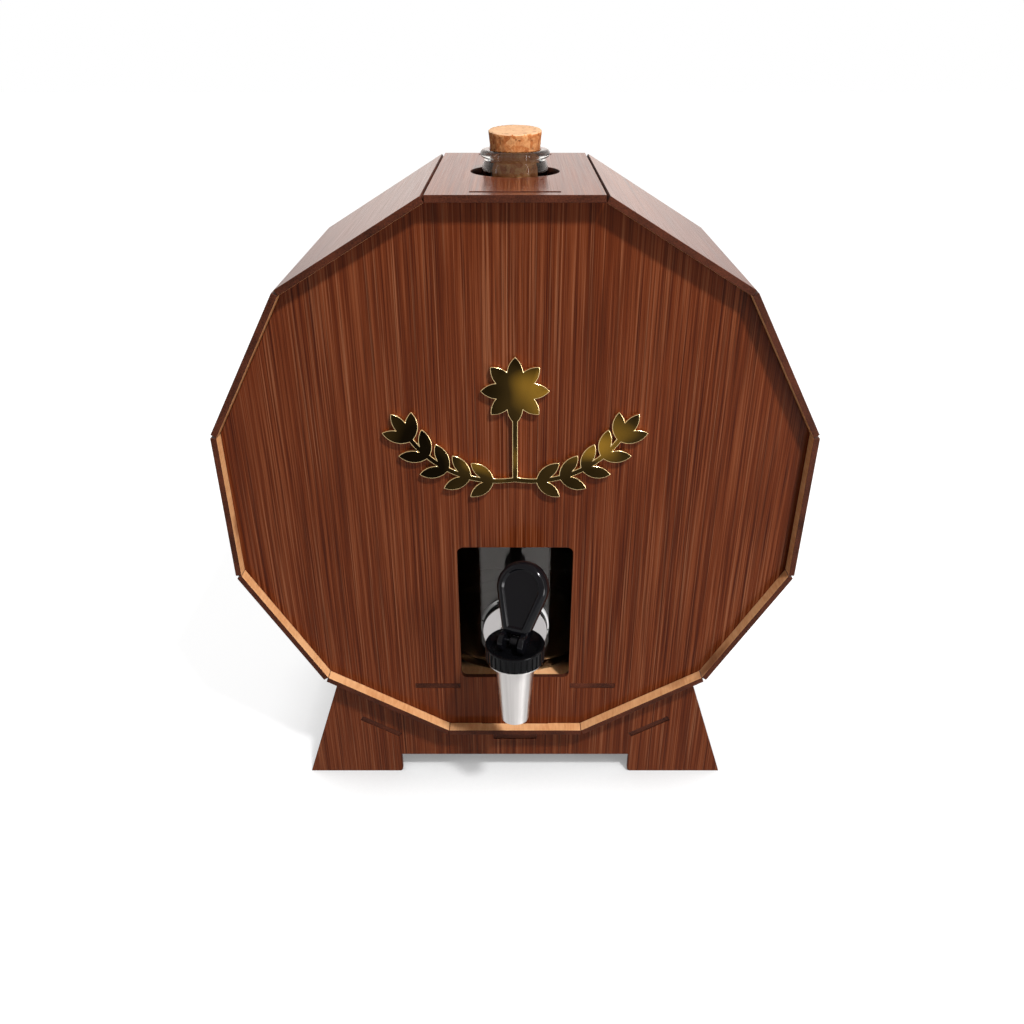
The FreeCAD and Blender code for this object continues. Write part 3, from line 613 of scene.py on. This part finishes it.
def makeBottle():
    # One closed wall: up the outside, over the lip and down the inside.
    values = bottle
    outer = (bottleHigh.x - bottleLow.x) / 2
    total = bottleHigh.z - bottleLow.z
    wall, neck, start = values["wall"], values["neck"], values["shoulderStart"]
    size, join, heel = values["shoulder"], values["join"], values["heel"]
    centre = outer - size
    joinPoint = (centre + size * math.cos(join), start + size * math.sin(join))
    hollow = (joinPoint[0] - neck) / (1 - math.cos(join))
    neckStart = start + (size + hollow) * math.sin(join)
    hollowCentre = (neck + hollow, neckStart)
    rings = [(0.5 * mm, 1.6 * mm), (outer - 16 * mm, 1.2 * mm), (outer - 9 * mm, 0)]
    rings += [(outer - heel, 0)] + bend((outer - heel, 0), (outer, heel), (outer - heel, heel), 6)
    rings += [(outer, start)] + bend((outer, start), joinPoint, (centre, start), 16)
    rings += bend(joinPoint, (neck, neckStart), hollowCentre, 10)
    band, lip, high = values["band"], values["lip"], total - values["lipHeight"]
    bandLow, bandHigh, bandSteps = values["bandLow"], values["bandHigh"], values["bandSteps"]
    for k in range(bandSteps + 1):
        share = k / bandSteps
        swell = math.sin(math.pi * share) ** 0.6
        rings.append((neck + (band - neck) * swell, bandLow + (bandHigh - bandLow) * share))
    rings += [(neck + 0.2 * mm, high)]
    under, over, mouth = 1.7 * mm, 1.8 * mm, 0.8 * mm
    rings += bend((lip - under, high), (lip, high + under), (lip - under, high + under), 6)
    rings += bend((lip, total - over), (lip - over, total), (lip - over, total - over), 6)
    bore = neck - wall
    rings += bend((bore + mouth, total), (bore, total - mouth), (bore + mouth, total - mouth), 4)
    rings += [(bore, neckStart)]
    inner = (centre + (size - wall) * math.cos(join), start + (size - wall) * math.sin(join))
    rings += bend((bore, neckStart), inner, hollowCentre, 10)
    rings += bend(inner, (outer - wall, start), (centre, start), 16)
    inside, floor, turn = outer - wall, values["floor"], values["floorRound"]
    rings += [(inside, floor + turn)]
    rings += bend((inside, floor + turn), (inside - turn, floor), (inside - turn, floor + turn), 5)
    rings += [(0.5 * mm, floor + 1.4 * mm)]
    piece = lathe("bottle_glass", rings, 128)
    turnPiece(piece, (0, (bottleLow.y + bottleHigh.y) / 2, bottleLow.z))
    cutWith(
        piece, bpy.ops.mesh.primitive_cylinder_add, vertices=48, radius=values["tapHole"],
        depth=20 * mm, rotation=(math.pi / 2, 0, 0), location=(0, bottleLow.y, tapCentre.z),
    )
    smooth(piece, 30)
    return piece


glassSkin = makeGlass()
bottlePiece = makeBottle()
setMaterials(bottlePiece, glassSkin)
place(bottlePiece, "cask", "clear_glass", "glass_bottle")
print("bottle done")


# Cork.
cork = {
    "pale": tone(210, 150, 98),
    "tan": tone(184, 112, 62),
    "rust": tone(146, 76, 36),
    "pit": tone(104, 52, 26),
    "cut": tone(236, 200, 162),
    "paintedNeckShade": tone(104, 62, 38),
    "topPaler": 0.6,
    "crumbDepth": 0.4 * mm,
    "taper": 0.078,
    "edge": 0.5 * mm,
    "slope": 2.1 / 25,
    "roughen": 0.55 * mm,
    "crumbSize": 2.2 * mm,
}


def makeCorkSkin(name, paler):
    # Pressed cork flakes: paler on the top face, with painted shade darkening it down inside the
    # neck.
    values = cork
    material, tree, shader = newMaterial(name, values["tan"], 0.85, specular=0.2)
    point = objectPoint(tree)
    flakes = {"Vector": point, "Scale": 460.0, "Randomness": 1.0}
    cells = addNode(tree, "ShaderNodeTexVoronoi", flakes).outputs["Color"]
    grain = noise(tree, point, 900.0, 3.0, 0.6)
    mixed = maths(tree, "MULTIPLY_ADD", cells, 0.4, maths(tree, "MULTIPLY", grain, 0.6))
    stops = [(0.22, values["rust"]), (0.45, values["tan"]), (0.68, values["pale"])]
    base = ramp(tree, mixed, stops)
    pits = noise(tree, scaled(tree, point, (330, 330, 560)), 1.0, 4.0, 0.66)
    pitMask = stretch(tree, pits, 0.58, 0.74)
    # The top face is blended towards the pale colour by the paler share.
    color = blendColor(tree, paler, base, values["cut"])
    color = blendColor(tree, pitMask, color, values["pit"])
    height, lipTop = splitPoint(tree, point)["Z"], bottleHigh.z
    # Painted shade: the cork darkens below the lip's top, most from 4 mm to 1.2 mm under it.
    dark = stretch(tree, height, lipTop - 6 * mm, lipTop - 4 * mm, 0.4, 0.65)
    below = stretch(tree, height, lipTop - 1.2 * mm, lipTop, 1.0, 0.0)
    paintedNeckShade = maths(tree, "MULTIPLY", dark, below)
    color = blendColor(tree, paintedNeckShade, color, values["paintedNeckShade"])
    tree.links.new(color, shader.inputs["Base Color"])
    relief = maths(tree, "MULTIPLY_ADD", pitMask, -1.0, grain)
    addBump(tree, shader, relief, values["crumbDepth"], 0.7)
    return material


def makeCork():
    high, edge = corkHigh.z - corkLow.z, cork["edge"]
    topRadius = (corkHigh.x - corkLow.x) / 2
    bottomRadius = topRadius - cork["taper"] * high
    steps = 22
    rings = [(0.4 * mm, 0), (bottomRadius * 0.5, 0), (bottomRadius - edge, 0)]
    for k in range(steps + 1):
        share = k / steps
        rings.append((bottomRadius + (topRadius - bottomRadius) * share,
                      edge + (high - 2 * edge) * share))
    rings += [(topRadius - edge, high)]
    rings += [(topRadius * share, high) for share in (0.8, 0.6, 0.4, 0.2, 0.03)]
    piece = lathe("cork_plug", rings, 96)
    # The top is cut on a slant that falls towards the front.
    for point in piece.data.vertices:
        share = max(0.0, (point.co.z - high * 0.7) / (high * 0.3))
        point.co.z += share * cork["slope"] * (point.co.y - topRadius)
    turnPiece(piece, (0, barrelCentre.y, corkLow.z))
    crumbs = bpy.data.textures.new("corkCrumbs", "CLOUDS")
    crumbs.noise_scale = cork["crumbSize"]
    crumbs.noise_depth = 3
    applyModifier(piece, "DISPLACE", texture=crumbs, texture_coords="LOCAL",
                  strength=-cork["roughen"], mid_level=0.35)
    smooth(piece, 60)
    return piece


corkPiece = makeCork()
setMaterials(corkPiece, makeCorkSkin("corkSide", 0.0), makeCorkSkin("corkTop", cork["topPaler"]))
for face in corkPiece.data.polygons:
    face.material_index = 1 if face.normal.z > 0.7 and face.center.z > bottleHigh.z else 0
place(corkPiece, "cork", "cork", "cork_stopper")
print("cork done")


# Tap: a satin spout, a polished barrel with a flat flange, a fluted cap and a black lever.
tap = {
    "spoutMouth": 7.2 * mm,
    "spoutRoot": 10.2 * mm,
    "spoutBore": 5.0 * mm,
    "spoutLength": 30.5 * mm,
    "waist": 2.0 * mm,  # round of the neck under the rim
    "chamber": 8.2 * mm,
    "seat": 6.0 * mm,
    "rim": 14.2 * mm,
    "rimHeight": 1.2 * mm,
    "capStart": 8.0 * mm,
    "collar": 11.0 * mm,
    "flange": 17.5 * mm,
    "flangeStart": 35.0 * mm,
    "flangeThick": 3.0 * mm,
    "barrel": 7.5 * mm,
    "fillet": 3.0 * mm,
    "shank": 7.9 * mm,
    "shankEnd": 56.0 * mm,
    "threadPitch": 1.5 * mm,
    "threadDepth": 0.7 * mm,
}


def makeMetal(name, color, roughness, wear):
    material, tree, shader = newMaterial(name, color, roughness, 1.0)
    point = objectPoint(tree)
    smear = noise(tree, scaled(tree, point, (90, 90, 160)), 1.0, 3.0)
    linkRoughness(tree, shader, smear, roughness, roughness + wear)
    return material


turning = {
    "spread": 0.85,
    "direction": 0.25,
    "bandsAround": 3.2,
    "bandsAlong": 3,
    "paintedReflectionDarker": 0.86,
}


def makeTurnedMetal(name, color, roughness, wear):
    # Satin metal turned about the tap's upright axis: its gloss spreads up and down, and it has
    # faint painted reflection bands round it that run its whole length.
    material = makeMetal(name, color, roughness, wear)
    tree = material.node_tree
    shader = tree.nodes["Principled BSDF"]
    shader.inputs["Anisotropic"].default_value = turning["spread"]
    shader.inputs["Anisotropic Rotation"].default_value = turning["direction"]
    around = addNode(tree, "ShaderNodeTangent", direction_type="RADIAL", axis="Z")
    tree.links.new(around.outputs["Tangent"], shader.inputs["Tangent"])
    parts = splitPoint(tree, scaled(tree, objectPoint(tree), (1, 1, 1), -tapCentre))
    turn = maths(tree, "ARCTAN2", parts["X"], maths(tree, "MULTIPLY", parts["Y"], -1.0))
    unrolled = flatPoint(tree, turn, parts["Z"])
    bandScale = (turning["bandsAround"], turning["bandsAlong"], 1)
    # Painted reflection: darker and lighter bands in the metal's colour by the angle round the
    # axis.
    paintedReflectionBands = noise(tree, scaled(tree, unrolled, bandScale), 1.0, 2.0)
    paintedReflectionDarker = tuple(part * turning["paintedReflectionDarker"] for part in color[:3]) + (1,)
    reflectionBandedColor = blendColor(tree, stretch(tree, paintedReflectionBands, 0.38, 0.6), paintedReflectionDarker, color)
    tree.links.new(reflectionBandedColor, shader.inputs["Base Color"])
    return material


def makePlastic(name, color, roughness, ior=1.45, grain=1200.0, depth=0.03 * mm):
    material, tree, shader = newMaterial(name, color, roughness)
    shader.inputs["IOR"].default_value = ior
    texture = noise(tree, objectPoint(tree), grain, 2.0)
    linkRoughness(tree, shader, texture, roughness, roughness + 0.06)
    addBump(tree, shader, texture, depth, 0.4)
    return material


satinSteel = makeTurnedMetal("satinSteel", (0.80, 0.77, 0.75, 1), 0.32, 0.04)
chrome = makeMetal("chrome", (0.60, 0.575, 0.57, 1), 0.12, 0.06)
turnedSteel = makeMetal("turnedSteel", (0.62, 0.61, 0.60, 1), 0.3, 0.1)
darkSteel = makeMetal("darkSteel", (0.022, 0.022, 0.024, 1), 0.35, 0.1)
glossBlack = makePlastic("glossBlack", (0.003, 0.003, 0.004, 1), 0.08, 1.29)
faceBlack = makePlastic("faceBlack", (0.003, 0.003, 0.0035, 1), 0.3, 1.19)
capBlack = makePlastic("capBlack", (0.002, 0.002, 0.0025, 1), 0.13, 1.22)
rubberBlack = makePlastic("rubberBlack", (0.010, 0.010, 0.010, 1), 0.55, 1.4, 800.0, 0.08 * mm)
sealRubber = makePlastic("sealRubber", (0.55, 0.54, 0.52, 1), 0.45)
lipHighlightGrey = makePlastic("lipHighlightGrey", (0.62, 0.61, 0.60, 1), 0.2)


def makeSpout():
    # The spout with its rim and the collar inside the cap, round the upright axis.
    values = tap
    low, top = -values["spoutLength"], values["capStart"] + 3 * mm
    mouth, root, bore = values["spoutMouth"], values["spoutRoot"], values["spoutBore"]
    rimLow = values["capStart"] - values["rimHeight"]
    waist, seat, chamber = values["waist"], -values["seat"], values["chamber"]
    rings = [(chamber, top), (chamber, seat + 0.4 * mm), (chamber - 0.6 * mm, seat), (bore, seat)]
    rings += [(bore, low + 0.5 * mm), (bore + 0.4 * mm, low)]
    rings += [(mouth - 0.5 * mm, low), (mouth - 0.1 * mm, low + 0.2 * mm), (mouth, low + 0.7 * mm)]
    rings += [(root - 0.1 * mm, rimLow - waist)]
    rings += bend((root, rimLow - waist), (root + waist, rimLow), (root + waist, rimLow - waist), 5)
    rim, rimTop, edge = values["rim"], values["capStart"], 0.5 * mm
    rings += bend((rim - edge, rimLow), (rim, rimLow + edge), (rim - edge, rimLow + edge), 3)
    rings += [(rim, rimTop - 0.2 * mm), (rim - 0.2 * mm, rimTop)]
    rings += [(values["collar"], rimTop), (values["collar"], top), (chamber, top)]
    return lathe("tap_spout", rings, 96, closed=True)


def makeTapBarrel():
    # The level barrel with its flat flange and threaded shank, turned upright and then laid back.
    values = tap
    start, flange, thick = values["flangeStart"], values["flange"], values["flangeThick"]
    barrel, fillet, shank = values["barrel"], values["fillet"], values["shank"]
    rings = [(0.5 * mm, 9 * mm), (barrel - 0.2 * mm, 9 * mm), (barrel, 9.5 * mm)]
    rings += [(barrel, start - fillet)]
    blend, edge = barrel + fillet, 0.5 * mm
    rings += bend((barrel, start - fillet), (blend, start), (blend, start - fillet), 6)
    rings += [(flange * 0.8, start)]
    rings += bend((flange - edge, start), (flange, start + edge), (flange - edge, start + edge), 4)
    rings += [(flange, start + thick - 0.4 * mm), (flange - 0.4 * mm, start + thick)]
    rings += [(shank + 0.2 * mm, start + thick)]
    height, end, pitch = start + thick, values["shankEnd"], values["threadPitch"]
    while height < end - pitch:
        rings += [(shank, height + 0.3 * mm)]
        rings += [(shank - values["threadDepth"], height + 0.75 * mm)]
        height += pitch
    rings += [(shank - 0.8 * mm, end), (4.6 * mm, end)]
    rings += [(4.5 * mm, end - 0.2 * mm), (4.5 * mm, 12 * mm), (0.5 * mm, 12 * mm)]
    piece = lathe("tap_barrel", rings, 96)
    turnPiece(piece, (0, 0, 0), (-math.pi / 2, 0, 0))
    return piece


spout = makeSpout()
turnPiece(spout, tapCentre)
smooth(spout, 30)
setMaterials(spout, satinSteel)
place(spout, "cask", "chrome", "tap_body")
barrel = makeTapBarrel()
turnPiece(barrel, tapCentre)
smooth(barrel, 30)
setMaterials(barrel, chrome)
place(barrel, "cask", "chrome")
print("tap body done")

cap = {
    "flutes": 30,
    "fluteDepth": 0.75 * mm,
    "fluteShare": 0.5,
    "ribRound": 0.5 * mm,
    "topBand": 1.3 * mm,
    "plate": 11.2 * mm,  # heights above the tap's level axis: the plate's underside
    "dish": 13.7 * mm,  # and the dish's floor
    "collar": 11.1 * mm,
    "bore": 6.05 * mm,
}


def makeCap():
    # A ring with a dish in its top. Every other face of its side is set in to make the flutes.
    outer = (capHigh.x - capLow.x) / 2
    low, top = capLow.z - tapCentre.z, capHigh.z - tapCentre.z
    plate, dish, collar, bore = cap["plate"], cap["dish"], cap["collar"], cap["bore"]
    sideLow, sideHigh = low + 0.6 * mm, top - cap["topBand"]
    rings = [(bore, plate), (collar, plate), (collar, low + 0.3 * mm), (collar + 0.3 * mm, low)]
    rings += [(outer - 0.5 * mm, low), (outer - 0.1 * mm, low + 0.3 * mm), (outer, sideLow)]
    rings += [(outer, sideHigh), (outer, top - 0.5 * mm), (outer - 0.2 * mm, top - 0.12 * mm)]
    rings += [(outer - 0.6 * mm, top), (13.7 * mm, top), (13.3 * mm, top - 0.25 * mm)]
    rings += [(12.6 * mm, top - 1.1 * mm), (11.2 * mm, top - 2.2 * mm), (9.8 * mm, dish + 0.3 * mm)]
    rings += [(8.5 * mm, dish), (bore, dish), (bore, plate)]
    piece = lathe("cap_ring", rings, 4 * cap["flutes"], closed=True)
    middle = (sideLow + sideHigh) / 2

    def onFlute(centre, normal):
        turn = math.atan2(centre.y, centre.x) / (2 * math.pi) * cap["flutes"]
        onSide = math.hypot(centre.x, centre.y) > outer - 0.3 * mm
        return onSide and abs(centre.z - middle) < 0.1 * mm and turn % 1.0 < cap["fluteShare"]

    pickFaces(piece, onFlute)
    startEdit(piece)
    bpy.ops.mesh.inset(thickness=0.02 * mm, depth=-cap["fluteDepth"])
    endEdit()
    turnPiece(piece, tapCentre)
    bevelEdges(piece, cap["ribRound"], 3, 50)
    smooth(piece, 40)
    return piece


capPiece = makeCap()
setMaterials(capPiece, capBlack)
place(capPiece, "cask", "cap_black", "tap_cap")

lever = {
    "headRadius": 13.3 * mm,
    "length": 41.4 * mm,
    "footHalf": 6.8 * mm,
    "thick": 8.5 * mm,
    "low": 4.0 * mm,
    "round": 3.3 * mm,
    "rimFlat": 0.2 * mm,
    "rimSlope": 1.0 * mm,
    "rimDepth": 1.3 * mm,
    "tilt": math.radians(22),
    "camRadius": 5.0 * mm,
    "camThrow": 2.96 * mm,
    "camLean": math.radians(3),
    "legGap": 8.2 * mm,
    "legThick": 6.0 * mm,
    "legTop": 9.5 * mm,
    "pinHole": 1.3 * mm,
}


def makeLeverBlade():
    # A disc whose lower edge is drawn down to the foot, then thickened, rounded and set in.
    values = lever
    head, low, thick = values["headRadius"], values["low"], values["thick"]
    centre = values["length"] - head
    clearSelection()
    bpy.ops.mesh.primitive_circle_add(vertices=64, radius=head, fill_type="NGON",
                                      rotation=(math.pi / 2, 0, 0), location=(0, 0, centre))
    piece = bpy.context.object
    piece.name = "lever_blade"
    settle(piece)
    drop = centre - low
    leanAngle = math.atan2(values["footHalf"], drop)
    spread = math.asin(head / math.hypot(values["footHalf"], drop)) - leanAngle
    tangent = centre - head * math.sin(spread)
    for point in piece.data.vertices:
        if point.co.z < tangent - 0.1 * mm:
            point.co.x = math.copysign(values["footHalf"], point.co.x)
            point.co.z = low
    startEdit(piece)
    bpy.ops.mesh.select_all(action="SELECT")
    bpy.ops.mesh.remove_doubles(threshold=0.00001)
    bpy.ops.mesh.extrude_region_move(TRANSFORM_OT_translate={"value": (0, thick, 0)})
    bpy.ops.mesh.select_all(action="SELECT")
    bpy.ops.transform.translate(value=(0, -thick / 2, 0))
    bpy.ops.mesh.normals_make_consistent(inside=False)
    endEdit()
    bevelEdges(piece, values["round"], 7, 60)
    pickFaces(piece, lambda middle, normal: normal.y < -0.995)
    startEdit(piece)
    bpy.ops.mesh.inset(thickness=values["rimFlat"], depth=0)
    bpy.ops.mesh.inset(thickness=values["rimSlope"], depth=-values["rimDepth"])
    endEdit()
    for face in piece.data.polygons:
        face.material_index = 1 if face.select else 0
    bevelEdges(piece, 0.3 * mm, 3, 30)
    smooth(piece, 50)
    return piece


def makeLeverFoot():
    # A leg block ending in the round cam, parted into two legs and drilled for the pin.
    values = lever
    centre = Vector((0, -values["camThrow"] * math.cos(values["camLean"]),
                     values["camThrow"] * math.sin(values["camLean"])))
    clearSelection()
    bpy.ops.mesh.primitive_cylinder_add(vertices=64, radius=values["camRadius"],
                                        depth=2 * values["footHalf"], location=centre,
                                        rotation=(0, math.pi / 2, 0))
    piece = bpy.context.object
    piece.name = "lever_foot"
    settle(piece)
    bevelEdges(piece, 0.5 * mm, 3, 60)
    clearSelection()
    high = values["legTop"]
    bpy.ops.mesh.primitive_cube_add(size=1, location=(0, 0, high / 2),
                                    scale=(2 * values["footHalf"], values["legThick"], high))
    block = bpy.context.object
    settle(block)
    bevelEdges(block, 0.6 * mm, 3, 60)
    combine(piece, block, "UNION")
    cutWith(piece, bpy.ops.mesh.primitive_cube_add, size=1,
            scale=(values["legGap"], 40 * mm, 40 * mm))
    cutWith(piece, bpy.ops.mesh.primitive_cylinder_add, vertices=32, radius=values["pinHole"],
            depth=30 * mm, rotation=(0, math.pi / 2, 0))
    return piece


blade = makeLeverBlade()
foot = makeLeverFoot()
combine(blade, foot, "UNION")
blade.name = "lever_handle"
turnPiece(blade, (0, 0, 0), (-lever["tilt"], 0, 0))
turnPiece(blade, pinPoint, (0, 0, leverYaw))
smooth(blade, 40)
setMaterials(blade, glossBlack, faceBlack)
place(blade, "lever", "gloss_black", "tap_lever")
print("lever done")

washerRing = {
    "lipStart": 2.6 * mm,
    "groove": 0.7 * mm,
    "grooveDepth": 0.9 * mm,
}


def makeWasher():
    # The washer's dark front part and its lip against the glass, coloured light grey as a painted
    # highlight ring, with a groove between.
    piece = copyNode("flange_washer", "outer_washer")
    lip = washerLow.y + washerRing["lipStart"]
    parting = lip - washerRing["groove"] / 2
    for cut in (lip - washerRing["groove"], lip):
        startEdit(piece)
        bpy.ops.mesh.select_all(action="SELECT")
        bpy.ops.mesh.bisect(plane_co=(0, cut, 0), plane_no=(0, 1, 0))
        endEdit()
    outer = (washerHigh.x - washerLow.x) / 2

    def inFront(co):
        return co.y < parting and math.hypot(co.x, co.z - tapCentre.z) > outer / 2

    pickPoints(piece, inFront)
    startEdit(piece, "VERT")
    share = 1 - washerRing["grooveDepth"] / outer
    bpy.ops.transform.resize(value=(share, 1, share), center_override=(0, 0, tapCentre.z))
    endEdit()
    # Painted highlight: the lip's light grey stands in for the bright ring where the washer meets
    # the glass.
    setMaterials(piece, rubberBlack, lipHighlightGrey)
    for face in piece.data.polygons:
        face.material_index = 1 if face.center.y > parting else 0
    bevelEdges(piece, 0.3 * mm, 3, 50)
    smooth(piece, 40)
    return piece


place(makeWasher(), "cask", "silicone", "outer_washer")

nodeSkins = {
    "inner_washer": sealRubber,
    "lock_nut": turnedSteel,
    "guide_bush": capBlack,
    "valve_stem": darkSteel,
    "seat_seal": sealRubber,
    "lever_pin": darkSteel,
}
for node, skin in nodeSkins.items():
    setMaterials(frame["nodes"][node], skin)

# The closing spring is one rigid piece carried on the swivel body, its top against the bush.
closingSpring = copyNode("closing_spring", "return_spring")
smooth(closingSpring, 60)
setMaterials(closingSpring, turnedSteel)
place(closingSpring, "swivel", "spring_steel", "return_spring")
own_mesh(closingSpring)
print("small parts done")


# Floor, light and camera.
studio = {
    "floor": (0.36, 0.36, 0.36, 1),
    "floorSeen": 0.88,  # the floor's own glow where the camera sees it
    "floorMirrored": 0.36,  # and where a surface mirrors it
    "contactReach": 0.08,
    "plain": 1.0,  # the world seen directly
    "soft": 0.26,  # and as light on the object
    "mirroredColor": (1, 0.91, 0.86, 1),
    "back": 1.32,
    "front": 0.5,
    "lights": (  # name, place, target, width and height, power
        ("keyLight", (0.5, -0.83, 1.42), barrelCentre, (0.16, 0.16), 29.5),
        ("fillLight", (0.55, -0.6, 0.12), barrelCentre, (0.3, 0.3), 1.7),
        ("stripLeft", (-1.0, -0.35, 0.4), tapCentre, (0.08, 1.2), 0.5),
        ("stripRight", (0.8, -0.72, 0.5), tapCentre, (0.08, 1.2), 1.3),
    ),
}


def makeFloor():
    # A pale floor that is white where it is looked at and calmer where a surface mirrors it.
    clearSelection()
    bpy.ops.mesh.primitive_plane_add(size=12)
    floor = bpy.context.object
    floor.name = "studio_floor"
    material, tree, shader = newMaterial("studioFloor", studio["floor"], 0.8, specular=0.1)
    shader.inputs["Emission Color"].default_value = (1, 1, 1, 1)
    rays = addNode(tree, "ShaderNodeLightPath").outputs
    contact = addNode(tree, "ShaderNodeAmbientOcclusion", {"Distance": studio["contactReach"]})
    seen = maths(tree, "MULTIPLY", rays["Is Camera Ray"], studio["floorSeen"])
    seen = maths(tree, "MULTIPLY", seen, contact.outputs["AO"])  # soft shade round the feet
    glow = maths(tree, "MULTIPLY_ADD", rays["Is Glossy Ray"], studio["floorMirrored"], seen)
    tree.links.new(glow, shader.inputs["Emission Strength"])
    setMaterials(floor, material)


def makeWorld():
    # White all round: weaker as soft light, and mirrored brightly only from behind the barrel.
    world = bpy.data.worlds.new("studioWorld")
    bpy.context.scene.world = world
    world.use_nodes = True
    tree = world.node_tree
    shade = tree.nodes["Background"]
    rays = addNode(tree, "ShaderNodeLightPath").outputs
    color = blendColor(tree, rays["Is Glossy Ray"], (1, 1, 1, 1), studio["mirroredColor"])
    tree.links.new(color, shade.inputs["Color"])
    way = addNode(tree, "ShaderNodeTexCoord").outputs["Generated"]
    depth = splitPoint(tree, way)["Y"]
    mirrored = stretch(tree, depth, -0.1, 0.45, studio["front"], studio["back"])
    soft = stretch(tree, rays["Is Diffuse Ray"], 0, 1, studio["plain"], studio["soft"])
    change = maths(tree, "SUBTRACT", mirrored, studio["plain"])
    glossy = maths(tree, "MULTIPLY", rays["Is Glossy Ray"], change)
    tree.links.new(maths(tree, "ADD", soft, glossy), shade.inputs["Strength"])


def addSoftbox(name, where, target, size, power):
    light = bpy.data.lights.new(name, "AREA")
    light.shape = "ELLIPSE"
    light.size, light.size_y = size
    light.energy = power
    box = bpy.data.objects.new(name, light)
    bpy.context.scene.collection.objects.link(box)
    box.location = where
    box.rotation_euler = (Vector(target) - Vector(where)).to_track_quat("-Z", "Y").to_euler()


view = {
    "lens": 32.51,
    "shift": (-0.0030, 0.0894),
    "back": 407.5 * mm,
    "above": 203.9 * mm,
    "pitch": math.radians(32.34),
}


def makeCamera():
    data = bpy.data.cameras.new("camera")
    data.lens = view["lens"]
    data.sensor_width = 36
    data.shift_x, data.shift_y = view["shift"]
    data.clip_start = 0.01
    camera = bpy.data.objects.new("camera", data)
    bpy.context.scene.collection.objects.link(camera)
    camera.location = (0, topLow.y - view["back"], barrelCentre.z + view["above"])
    camera.rotation_euler = (math.pi / 2 - view["pitch"], 0, 0)
    bpy.context.scene.camera = camera


makeFloor()
makeWorld()
for light in studio["lights"]:
    addSoftbox(*light)
makeCamera()
bpy.context.scene.view_settings.view_transform = "Standard"
print("studio done")
